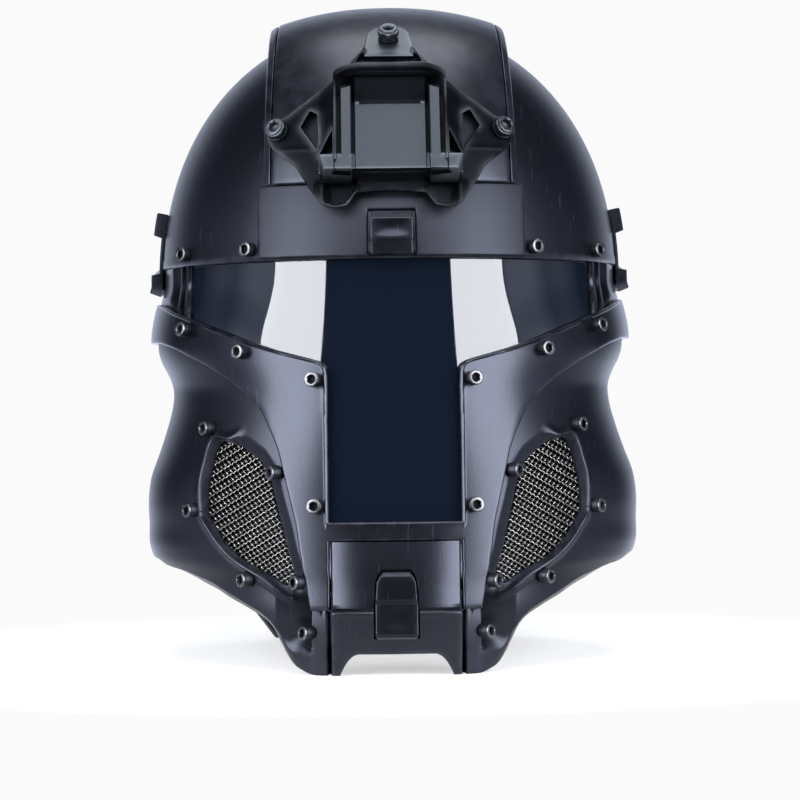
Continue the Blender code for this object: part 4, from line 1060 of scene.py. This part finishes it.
# Lower rim x and z, upper edge x and z, from the chin to the side.
GUARD_RIBS = np.array((
    (0.0346, 0.0, 0.0346, 0.0322), (0.044, 0.0012, 0.0402, 0.034),
    (0.0522, 0.0038, 0.043, 0.05), (0.059, 0.0085, 0.0455, 0.062),
    (0.0622, 0.013, 0.048, 0.074), (0.066, 0.022, 0.05, 0.083),
    (0.07, 0.0265, 0.052, 0.092), (0.0824, 0.0335, 0.0548, 0.108),
    (0.0964, 0.041, 0.0595, 0.127), (0.109, 0.0455, 0.0665, 0.142),
    (0.1185, 0.0485, 0.08, 0.155),
))
# The same behind the widest place: rim turn in degrees and z, upper edge turn and z.
GUARD_REAR = np.array((
    (76.0, 0.05, 54.0, 0.1655), (90.0, 0.0515, 75.0, 0.176), (104.0, 0.0515, 90.0, 0.1785),
    (117.75, 0.0505, 100.5, 0.1828),
))
VENT = np.array((
    (0.0925, 0.1215), (0.0807, 0.1181), (0.0703, 0.1105), (0.065, 0.1029), (0.0614, 0.0858),
    (0.0577, 0.0719), (0.0529, 0.0547), (0.052, 0.0468), (0.0572, 0.0451), (0.0713, 0.0532),
    (0.0837, 0.061), (0.0921, 0.07), (0.0995, 0.0811), (0.0999, 0.093), (0.0976, 0.1065),
    (0.095, 0.1165),
))
GUARD_ROUNDING = 0.0011
BAY_INNER = 0.0458
BAY_OUTER = 0.0640
# Millimetres from the vent and from the rim of the closely spaced steps along each ray.
LIP_STEPS = (0.0, 0.1, 0.35, 0.7, 1.1, 1.7, 2.3, 2.9, 3.5, 4.1, 4.7, 5.3, 6.2, 7.5)
RIM_STEPS = (12.5, 10.5, 9.0, 8.0, 7.2, 6.7, 6.3, 6.0, 4.5, 3.0, 1.8, 0.9, 0.5, 0.2, 0.05, 0.0)


def cheek_guard():
    """Rays from the vent's edge out to the guard's edge, both closed lines in turn and height. The
    face is rounded at both, sinks to the vent behind a soft lip, rolls in over the last 6 mm of
    the rim, swells forward to its toe, and slopes back into a bay by the chin. A flange turns in
    round the vent."""
    front = np.hstack([line_at(GUARD_RIBS[:, i:i + 2], INNER_LAYER) for i in (0, 2)])
    rear = GUARD_REAR * (math.pi / 180, 1, math.pi / 180, 1) * (AROUND, 1, AROUND, 1)
    rim, edge = (eased(np.vstack([front, rear])[:, i:i + 2], 0.0022, 4) for i in (0, 2))
    seam = np.linspace(rim[-1], edge[-1], 50)[1:-1]
    outer = np.vstack([rim, seam, edge[::-1], np.linspace(edge[0], rim[0], 14)[1:-1]])
    vent = eased(line_at(VENT, INNER_LAYER), 0.0012, 3, closed=True)
    middle = vent.mean(axis=0)
    outer_angle = np.unwrap(np.arctan2(*(outer - middle).T[::-1]))
    outer_angle = np.maximum.accumulate(outer_angle)
    vent_angle = np.arctan2(*(vent - middle).T[::-1])
    order = np.argsort(vent_angle)
    radius = np.linalg.norm(vent - middle, axis=1)[order]
    radius = np.interp(outer_angle, vent_angle[order], radius, period=2 * math.pi)
    inner = middle + radius[:, None] * np.stack([np.cos(outer_angle), np.sin(outer_angle)], 1)
    outer, inner = joined(outer), joined(inner)
    width = np.linalg.norm(skin_line(inner) - skin_line(outer), axis=1)[:, None]
    squeeze = np.minimum(1.0, width / 0.0215)
    near, far = (np.array(steps) * 1e-3 * squeeze for steps in (LIP_STEPS, RIM_STEPS))
    even = 0.0075 * squeeze + (width - 0.0200 * squeeze) * np.linspace(0, 1, 44)[1:-1]
    steps = np.concatenate([near, even, width - far], 1)
    ring = inner[:, None] + (outer - inner)[:, None] * (steps / width)[..., None]
    turn, z = ring[..., 0] / AROUND, ring[..., 1]
    place = skin_point(turn, z)
    x = place[..., 0]
    borders = [skin_line(line) for line in (inner, outer, rim)]
    from_vent, from_edge, from_rim = (gap_from(border, place) for border in borders)
    # The vent's bevel is wide towards the nose and narrow towards the ear.
    ear_side = slope(ring[..., 0] - middle[0] - 0.35 * (z - middle[1]), -0.012, 0.004)
    bevel = 0.0075 - 0.0068 * ear_side
    sink = 0.0029 * (1 - slope(from_vent / bevel, 0.0, 1.0))
    lip = 0.0019 * bell(from_vent - bevel, 0.0008, 0.0022) * ear_side
    roll = 0.0062 * np.clip(1 - from_rim / 0.0061, 0, 1) * slope(x, 0.052, 0.064)
    hollow = 0.0088 * np.clip((BAY_OUTER - x) / (BAY_OUTER - BAY_INNER), 0, 1)
    hollow = hollow * slope(x, BAY_INNER - 0.0018, BAY_INNER + 0.0006)
    hollow = hollow * slope(z, 0.0100, 0.0190) * (1 - slope(z, 0.0400, 0.0520))
    toe = 0.0042 * np.clip(1 - z / 0.0340, 0, 1) * (1 - slope(x, 0.0420, 0.0560))
    gap = np.minimum(from_vent, from_edge)
    depth = INNER_LAYER + rounding(gap, GUARD_ROUNDING) + sink - lip + roll + hollow - toe
    flange = 0.0010 * (1 - slope(from_vent, 0.0, 0.0040))
    face = skin(turn, z, depth)
    back = skin(turn, z, np.maximum(GUARD_BACK, depth + 0.0012) + flange)
    face[-1], back[-1] = face[0], back[0]
    return face.swapaxes(0, 1)[:, ::-1], back.swapaxes(0, 1)[:, ::-1], gap.T[:, ::-1]


moulded_pair("cheek_guard", cheek_guard(), shell_plastic, "shell_black")


# ---- Wire mesh of the vents ----------------------------------------------------------------
# Behind each vent lies a weave of crimped steel wire, 0.7 mm thick, cut to the vent's shape and
# clamped to the guard's inner side. Every second weft wire lies on top and runs up to the nose.

WIRE_RADIUS = 0.00030
WIRE_SIDES = 6
MESH_DEPTH = GUARD_BACK + 0.0024
# Angle of each family of wires as seen from the front, and the distance between its wires.
WEFT_TILT, WEFT_PITCH = math.radians(149.0), 0.00214
WARP_TILT, WARP_PITCH = math.radians(45.7), 0.00233


def wire_family(border, middle, tilt, pitch, step):
    """The middle line of every wire of a family: parallel straight lines a pitch apart, and the
    parts of them that lie inside the border."""
    ahead = np.array((math.cos(tilt), math.sin(tilt)))
    aside = np.array((-ahead[1], ahead[0]))
    number, way = np.arange(-24, 25), np.arange(-0.050, 0.050, step)
    place = middle + way[:, None] * ahead + (number * pitch)[:, None, None] * aside
    for wire, line, inside in zip(number, place, within(border, place)):
        if inside.sum() > 3:
            span = slice(*np.flatnonzero(inside)[[0, -1]] + (0, 1))
            yield wire, line[span], aside


def woven_wires():
    """Tubes of the weave. The weft's wires zigzag between the warp's by a triangle wave, every
    second one raised, and the warp's dip under those and rise to the others by a cosine."""
    border = eased(VENT, 0.0012, 3, closed=True)
    middle = border.mean(axis=0)
    border = middle + (border - middle) * 1.06
    across_weft, across_warp = (
        np.array((-math.sin(tilt), math.cos(tilt))) for tilt in (WEFT_TILT, WARP_TILT)
    )
    around = np.linspace(0, 2 * math.pi, WIRE_SIDES + 1)[:-1]
    for tilt, pitch in ((WEFT_TILT, WEFT_PITCH), (WARP_TILT, WARP_PITCH)):
        for wire, line, aside in wire_family(border, middle, tilt, pitch, 0.0005):
            if tilt == WEFT_TILT:
                raised = 1 - 2 * (wire % 2)
                height = np.full(len(line), 0.00034 * raised - 0.00010)
                phase = 2 * math.pi * ((line - middle) @ across_warp) / WARP_PITCH
                sway = 0.00026 * raised * np.arcsin(np.sin(phase))
            else:
                phase = math.pi * ((line - middle) @ across_weft) / WEFT_PITCH
                height = -0.00040 * np.cos(phase) - 0.00025
                sway = 0 * height
            flat = line[:, None] + (WIRE_RADIUS * np.cos(around) + sway[:, None])[..., None] * aside
            out = height[:, None] + WIRE_RADIUS * np.sin(around)
            yield np.concatenate([flat, out[..., None]], -1)


def vent_mesh():
    """The points and the faces of all the tubes of the right vent, joined along each wire and
    closed at both ends, and a value at each point that is higher the further it stands out, with
    which the finish paints the lower wires darker as painted shade."""
    points, faces, start = [], [], 0
    corner = np.arange(WIRE_SIDES)
    after = (corner + 1) % WIRE_SIDES
    for tube in woven_wires():
        points.append(tube.reshape(-1, 3))
        ring = start + np.arange(len(tube) - 1)[:, None] * WIRE_SIDES
        quads = [ring + corner, ring + WIRE_SIDES + corner, ring + WIRE_SIDES + after, ring + after]
        faces += np.stack(quads, -1).reshape(-1, 4).tolist()
        end = start + len(points[-1])
        faces += [[*range(start, start + WIRE_SIDES)], [*range(end - 1, end - 1 - WIRE_SIDES, -1)]]
        start = end
    x, z, out = np.vstack(points).T
    points = skin(*seen_at(x, z, MESH_DEPTH), MESH_DEPTH - out)
    return points, faces, slope(out, -0.0001, 0.0005)


def drawn_steel(name, bright, dull, gloss, scale):
    """Bare steel with dull spots and a drawn grain: polished and bright where the per-point value
    is high, dark oxide elsewhere. On the vent weave that value is painted shade, which darkens the
    lower wires."""
    material, shader, place = new_material(name, {"Metallic": 1.0})
    oxide, grain = place.noise(scale, 4.0), place.noise(12.0 * scale, 1.0)
    worn_and_lit = place.wear_and_shade().over(0.0, 0.6)
    feed(shader, {
        "Base Color": (worn_and_lit * (oxide.over(0.30, 0.60) * 0.6 + 0.4)).mix(dull, bright),
        "Roughness": gloss + (grain - 0.5) * 0.14 + (oxide - 0.5) * 0.20,
        "Normal": grain.bump(0.12, 0.0002),
    })
    return material


# The dull wire colour is oxide, and on the lower wires of the weave it is painted shade.
BRIGHT_WIRE, OXIDE_AND_SHADE_WIRE = (0.33, 0.32, 0.305, 1.0), (0.045, 0.043, 0.041, 1.0)
wire_steel = drawn_steel("wire steel", BRIGHT_WIRE, OXIDE_AND_SHADE_WIRE, 0.36, 260.0)
points, faces, wear_and_shade = vent_mesh()
SIDES = (("R", 1), ("L", -1))
for letter, sign in SIDES:
    turned = [face[::sign] for face in faces]
    weave = new_piece(f"vent_mesh_{letter}_woven", points * (sign, 1, 1), turned, wear_and_shade)
    finish_piece(weave, wire_steel, "shell", "wire_steel", f"vent_mesh_{letter}")


# ---- Chin panel ----------------------------------------------------------------------------
# The moulded block between the cheek guards. Its lower half stands out, a rounded ledge runs over
# it at the level of the snap lever's hook, and an arch is cut out between its two tips.

CHIN_HALF = 0.0330
CHIN_TOP = 0.0684
CHIN_BACK = 0.0095
CHIN_LIP = 0.0295
CHIN_ROUNDING = 0.0009
CHIN_FLARE = 0.0014
# Right half of the arch, x and z. Height and half width of the lever's pocket. Height and how far
# the panel stands out.
ARCH = (
    (0.0, 0.0114), (0.0195, 0.0114), (0.0216, 0.0109), (0.0238, 0.0092), (0.0262, 0.006),
    (0.0282, 0.002), (0.029, 0.0), (0.033, 0.0),
)
POCKET = np.array((
    (0.0185, 0.0117), (0.032, 0.0117), (0.036, 0.0115), (0.048, 0.0108), (0.052, 0.0094),
    (0.0545, 0.0076),
))
CHIN_PROFILE = (
    (0.0, 0.002), (0.011, 0.004), (0.021, 0.0052), (0.029, 0.0056), (0.0306, 0.006),
    (0.032, 0.0066), (0.033, 0.0063), (0.0338, 0.0052), (0.0344, 0.0036), (0.035, 0.0018),
    (0.046, 0.0012), (CHIN_TOP, 0.0004),
)
# Shares of the way from the pocket's side to the panel's.
SIDE_SHARES = (
    0.05, 0.12, 0.22, 0.3, 0.36, 0.42, 0.48, 0.54, 0.6, 0.66, 0.72, 0.77, 0.81, 0.85, 0.9,
    0.94, 0.97, 0.99, 1.0,
)
# Heights of the rows over the ledge.
LEDGE_ROWS = (
    0.03, 0.0306, 0.0312, 0.0318, 0.0324, 0.0329, 0.0333, 0.0337, 0.034, 0.0343, 0.0346,
    0.035,
)
POCKET_FOOT, POCKET_TOP, POCKET_STEP = 0.0196, 0.0544, 0.0335


def chin_panel():
    """A height over the skin, by x and z. Columns follow the pocket's sides and rows start from the
    arch: the lower half is 6 mm proud, the ledge's lip a little more, and the upper half is almost
    flush and falls away at both sides."""
    base = np.concatenate([np.linspace(0.0, 1.0, 13), [1.02], 1.0 + np.array(SIDE_SHARES)])
    column = np.concatenate([-base[::-1], base[1:]])
    low = CHIN_LIP - rounded_steps(CHIN_LIP, CHIN_ROUNDING, 16)[::-1]
    low = np.sort(np.append(low, (0.0130, 0.0134)))
    high = np.append(np.linspace(0.0350, 0.0543, 18)[1:], np.linspace(0.0546, CHIN_TOP, 12))
    z_line = np.concatenate([low, LEDGE_ROWS, high])[:, None]
    size = np.abs(column)
    inner, outer = np.where(size <= 1, size, 1.0), np.clip(size - 1, 0, 1)
    share = np.clip((CHIN_LIP - z_line) / CHIN_LIP, 0, 1)
    z = np.repeat(z_line, len(column), 1)
    for _ in range(3):
        half = np.interp(z, *POCKET.T)
        x = np.sign(column) * (inner * half + outer * (CHIN_HALF - half))
        foot = np.interp(np.abs(x), *np.transpose(ARCH))
        z = np.where(z_line < CHIN_LIP, CHIN_LIP - share * (CHIN_LIP - foot), z_line)
    border = np.array(list(ARCH[::-1]) + [(-a, b) for a, b in ARCH])
    gap = np.minimum(CHIN_HALF - np.abs(x), gap_from(border, np.stack([x, z], -1)))
    proud = np.interp(z, *np.transpose(CHIN_PROFILE))
    # Over the ledge both sides curve back, by a cube of the distance from the middle.
    proud = proud - 0.0020 * (np.abs(x) / CHIN_HALF) ** 3 * slope(z, 0.0340, 0.0380)
    in_pocket = np.abs(x) < np.interp(z, *POCKET.T) - 1e-5
    in_pocket &= (z > POCKET_FOOT) & (z < POCKET_TOP)
    pocket = np.where(z < POCKET_STEP, -0.0010, -0.0026)
    out = np.where(in_pocket, pocket, proud) - rounding(gap, CHIN_ROUNDING)
    turn, _ = seen_at(x, z, 0.0)
    face, back = skin(turn, z, -out), skin(turn, z, CHIN_BACK)
    # The sides flare towards the back, so that no light comes through the seam with the guards.
    for part, flare in ((face, 0.0), (back, CHIN_FLARE)):
        part[..., 0], part[..., 2] = x * (1 + flare / CHIN_HALF), z
    return face, back, gap


moulded_piece("chin_panel", [chin_panel()], plate_plastic, "plate_black")


# ---- Snap levers ---------------------------------------------------------------------------
# Two small moulded levers swing out on pins: the one on the chin hooks over the panel's ledge, and
# the one on the brow locks the lens in. Each has a raised thumb block with a rounded lower lip.

# Height, half width, face y and back y of each level section.
CHIN_LEVER = (
    (0.0196, 0.0098, -0.1592, -0.155), (0.0208, 0.0106, -0.1608, -0.1536),
    (0.0222, 0.0108, -0.1612, -0.1536), (0.0372, 0.0108, -0.1606, -0.1536),
    (0.0386, 0.0106, -0.158, -0.15), (0.0394, 0.0106, -0.1532, -0.149),
    (0.048, 0.01, -0.1528, -0.1484), (0.0512, 0.0084, -0.1525, -0.1484),
    (0.053, 0.0072, -0.1516, -0.1494),
)
BROW_LEVER = (
    (0.214, 0.01, -0.1446, -0.1412), (0.215, 0.0107, -0.1462, -0.14),
    (0.2212, 0.0107, -0.1462, -0.14), (0.2226, 0.0109, -0.144, -0.1396),
    (0.233, 0.0109, -0.1434, -0.139), (0.2362, 0.0106, -0.142, -0.1396),
)
LEVER_ROUNDING = 0.0007


def snap_lever(rows, low, high):
    """A bar lofted through level sections: x is half width times a share, and the face is rounded
    at its sides and dished between two heights by a parabola across and along."""
    rows = np.array(rows)
    z = np.unique(np.concatenate([np.linspace(rows[0, 0], rows[-1, 0], 40), rows[:, 0]]))[:, None]
    half, face_y, back_y = (np.interp(z, rows[:, 0], rows[:, i]) for i in (1, 2, 3))
    widest = rows[:, 1].max()
    across = rounded_steps(2 * widest, LEVER_ROUNDING, 18) / widest - 1
    x = half * across
    gap = np.minimum(half - np.abs(x), np.minimum(z - z[0], z[-1] - z) + 0.0004)
    along = (z - (low + high) / 2) / ((high - low) / 2)
    bowl = np.clip(1 - along**2, 0, 1) * np.clip(1 - (across * 1.15) ** 2, 0, 1)
    face_y = face_y + HEAD_TO_BOX + rounding(gap, LEVER_ROUNDING) + 0.0006 * bowl
    back_y = back_y + HEAD_TO_BOX
    face, back = (np.stack(np.broadcast_arrays(x, y, z), -1) for y in (face_y, back_y))
    return face, back, gap


LEVER_BLACK = (0.0020, 0.0023, 0.0032, 1.0)
lever_plastic = moulded_plastic("lever plastic", LEVER_BLACK, PLATE_RUBBED, 0.27, 0.04, 1.36)
chin_lever = snap_lever(CHIN_LEVER, 0.0245, 0.0368)
moulded_piece("chin_latch", [chin_lever], lever_plastic, "plate_black", "chin_lever", 40.0)
brow_lever = snap_lever(BROW_LEVER, 0.2240, 0.2325)
moulded_piece("brow_latch", [brow_lever], lever_plastic, "plate_black", "brow_lever", 40.0)


# ---- Cap screws ----------------------------------------------------------------------------
# Twenty-four bright steel cap screws with hexagon sockets hold the rim, the face plate and the
# guards. Each stands on a black spacer that lifts its head clear of the curved plastic.

RIM_SCREWS = ((0.112, 0.219), (0.0764, 0.2192))
PLATE_SCREWS = ((0.112, 0.1792), (0.081, 0.1663), (0.0421, 0.1514), (0.0416, 0.0869))
GUARD_SCREWS = (
    (0.0999, 0.1268), (0.0646, 0.1039), (0.1087, 0.0842), (0.0803, 0.049), (0.053, 0.048),
    (0.0486, 0.0223),
)
SCREW_ROWS = (
    (0.0, -0.001, 0, 0), (0.0036, -0.001, 0, 0), (0.0037, 0.0002, 0, 0), (0.0037, 0.003, 0, 0),
    (0.0036, 0.0033, 0, 0), (0.0038, 0.0035, 0, 0), (0.0039, 0.0045, 0, 0),
    (0.0037, 0.005, 0, 0), (0.0033, 0.0052, 0, 0), (0.0025, 0.0052, 0, 0),
    (0.0022, 0.005, 1, 0), (0.002, 0.0047, 1, 0), (0.0019, 0.0028, 1, 0), (0.0, 0.0024, 0, 0),
)
SCREW_HEIGHT = 0.0052
SCREW_SINK = 0.0008
AROUND_SCREW = 48
# The first ring of faces of the bright head, and the first ring of the socket, whose faces take the
# matt paint as painted shade in the hole.
HEAD_RING, SOCKET_RING = 6, 11
BRIGHT_HEAD, DULL_HEAD = (0.14, 0.14, 0.145, 1.0), (0.030, 0.030, 0.032, 1.0)
screw_steel = drawn_steel("screw steel", BRIGHT_HEAD, DULL_HEAD, 0.34, 300.0)
SPACER_BLACK, SPACER_RUBBED = (0.0030, 0.0032, 0.0040, 1.0), (0.012, 0.012, 0.014, 1.0)
spacer_black = moulded_plastic("spacer black", SPACER_BLACK, SPACER_RUBBED, 0.42, 0.05)
# The guards' screws lean out to the sides, by this many radians from straight ahead. The others
# stand square to the skin, up to the most that they lean.
GUARD_LEAN = math.radians(54.0)
MOST_LEAN = math.radians(47.0)


def screw_axis(x, z, on_guard):
    """Foot and top of a screw whose head is seen from the front at x and z."""
    foot_depth = (INNER_LAYER if on_guard else 0.0) - SCREW_SINK
    top_depth = foot_depth - SCREW_HEIGHT
    turn, height = seen_at(x, z, top_depth)
    foot, top = skin(turn, height, foot_depth), skin(turn, height, top_depth)
    aside, ahead, up = top - foot
    if on_guard:
        foot = top - SCREW_HEIGHT * np.array((math.sin(GUARD_LEAN), -math.cos(GUARD_LEAN), 0.0))
    elif math.atan2(aside, -ahead) > MOST_LEAN:
        reach = math.hypot(aside, ahead)
        foot = top - np.array((reach * math.sin(MOST_LEAN), -reach * math.cos(MOST_LEAN), up))
    return foot, top


for label, places in (("rim", RIM_SCREWS), ("plate", PLATE_SCREWS), ("guard", GUARD_SCREWS)):
    for number, (x, z) in enumerate(places, 1):
        foot, top = screw_axis(x, z, label == "guard")
        for letter, sign in SIDES:
            flip = np.array((sign, 1, 1))
            start, axis = foot * flip, (top - foot) * flip
            node = f"{label}_screw_{number}_{letter}"
            screw = cap_solid(f"{node}_turned", SCREW_ROWS, start, axis, AROUND_SCREW)
            finish_piece(screw, screw_steel, "shell", "screw_steel", node)
            screw.data.materials.append(spacer_black)
            screw.data.materials.append(shading_matt_paint)
            # The socket's faces get the matt paint: painted shade in the hole.
            ring = np.arange(len(screw.data.polygons)) // AROUND_SCREW + 1
            finish = np.where(ring < HEAD_RING, 1, np.where(ring < SOCKET_RING, 0, 2))
            screw.data.polygons.foreach_set("material_index", finish.astype(np.int32))


# ---- Studio --------------------------------------------------------------------------------
# A pale table lit softly from below, two tall soft boxes at the front corners, a panel over the
# camera and one over the top, and dim air in front of the lens. The camera stands level with the
# middle of the helmet.

TABLE_HALF = 6
stage = bpy.data.meshes.new("stage")
corners = [(x * TABLE_HALF, y * TABLE_HALF, 0) for x, y in ((-1, -1), (1, -1), (1, 1), (-1, 1))]
stage.from_pydata(corners, [], [(0, 1, 2, 3)])
floor = bpy.data.objects.new("stage", stage)
bpy.context.scene.collection.objects.link(floor)
WHITE, PAPER_GREY = (1.0, 1.0, 1.0, 1.0), (0.55, 0.55, 0.55, 1.0)
paper, paper_shader, place = new_material("pale paper", {
    "Base Color": PAPER_GREY, "Roughness": 0.9, "Emission Color": WHITE, "Emission Strength": 0.55,
})
# The table fades into the air between these distances from the middle.
FADE_START, FADE_END = 0.12, 0.34
far = place.node("VectorMath", {"operation": "LENGTH"}, {0: place}, 1).over(FADE_START, FADE_END)
lit = Wire(place.tree, paper_shader.outputs[0])
faded = place.node("MixShader", inputs={0: far, 1: lit, 2: place.node("BsdfTransparent")})
surface = paper.node_tree.nodes["Material Output"].inputs["Surface"]
place.tree.links.new(faded.socket, surface)
stage.materials.append(paper)

world = bpy.data.worlds.new("studio air")
bpy.context.scene.world = world
world.use_nodes = True
sky = Wire(world.node_tree)
direction = sky.node("TexCoord", output="Generated")
ahead = sky.node("SeparateXYZ", inputs={"Vector": direction}, output="Y")
up = sky.node("SeparateXYZ", inputs={"Vector": direction}, output="Z")
panes = (ahead * 46.0).math("SINE") * 0.16 + 0.84
side_wall = ahead.over(-0.56, -0.45)
side_wall *= 1.0 - ahead.over(-0.22, 0.00) * 0.65 - ahead.over(0.2, 0.5) * 0.35
side_wall *= panes
side_wall = side_wall * up.over(-0.20, -0.10) * (1.0 - up.over(0.22, 0.36))
back_wall = ahead.over(0.70, 0.92) * (1.0 - up.over(0.50, 0.75))
low_wall = ahead.over(-0.25, 0.10) * (1.0 - up.over(-0.12, 0.02))
bright = side_wall * 0.5 + back_wall * 0.6 + low_wall * 0.4
room = bright.over(0.0, 1.0).mix((0.020, 0.028, 0.048, 1.0), (1.7, 1.85, 2.3, 1.0))
seen = sky.node("LightPath", output="Is Camera Ray")
air = world.node_tree.nodes["Background"]
feed(air, {"Color": seen.mix(room, (0.96, 0.96, 0.965, 1.0))})


def facing(place, aim):
    """Where a thing stands that looks from a place at a point."""
    look = (Vector(aim) - Vector(place)).to_track_quat("-Z", "Y")
    return Matrix.Translation(place) @ look.to_matrix().to_4x4()


def soft_box(name, place, aim, width, height, power, colour):
    """A rectangular lamp that the camera doesn't see, turned to face a point."""
    lamp = bpy.data.lights.new(name, "AREA")
    lamp.shape, lamp.size, lamp.size_y = "RECTANGLE", width, height
    lamp.energy, lamp.color = power, colour
    holder = bpy.data.objects.new(name, lamp)
    holder.matrix_world = facing(place, aim)
    holder.visible_camera = False
    bpy.context.scene.collection.objects.link(holder)


BOX_DISTANCE = 1.35
for side, turned in ((-1, 44.0), (1, 41.5)):
    turned = math.radians(turned)
    place = (side * BOX_DISTANCE * math.sin(turned), -BOX_DISTANCE * math.cos(turned), 0.42)
    soft_box(f"soft_box_{side}", place, (0, 0, 0.16), 0.74, 1.30, 39.0, (0.93, 0.95, 1.0))
soft_box("front_panel", (-0.05, -1.26, 0.96), (0.0, 0.0, 0.16), 0.50, 0.70, 11.0, (0.93, 0.96, 1.0))
soft_box("top_panel", (0.06, -0.15, 1.50), (0.06, -0.15, 0), 0.75, 1.5, 15.0, (0.94, 0.97, 1.0))

EYE_DISTANCE = 1.64
YAW = math.radians(0.67)
ROLL = math.radians(-0.7)
middle = Vector((0.0, HEAD_TO_BOX, 0.1403))
eye = bpy.data.objects.new("camera", bpy.data.cameras.new("camera"))
place = middle + Vector((-math.sin(YAW), -math.cos(YAW), 0.0)) * EYE_DISTANCE
eye.matrix_world = facing(place, middle) @ Matrix.Rotation(ROLL, 4, "Z")
eye.data.sensor_width = 36.0
eye.data.lens = 132.35
eye.data.shift_x = 0.01175
bpy.context.scene.collection.objects.link(eye)
bpy.context.scene.camera = eye
bpy.context.scene.view_settings.view_transform = "Standard"
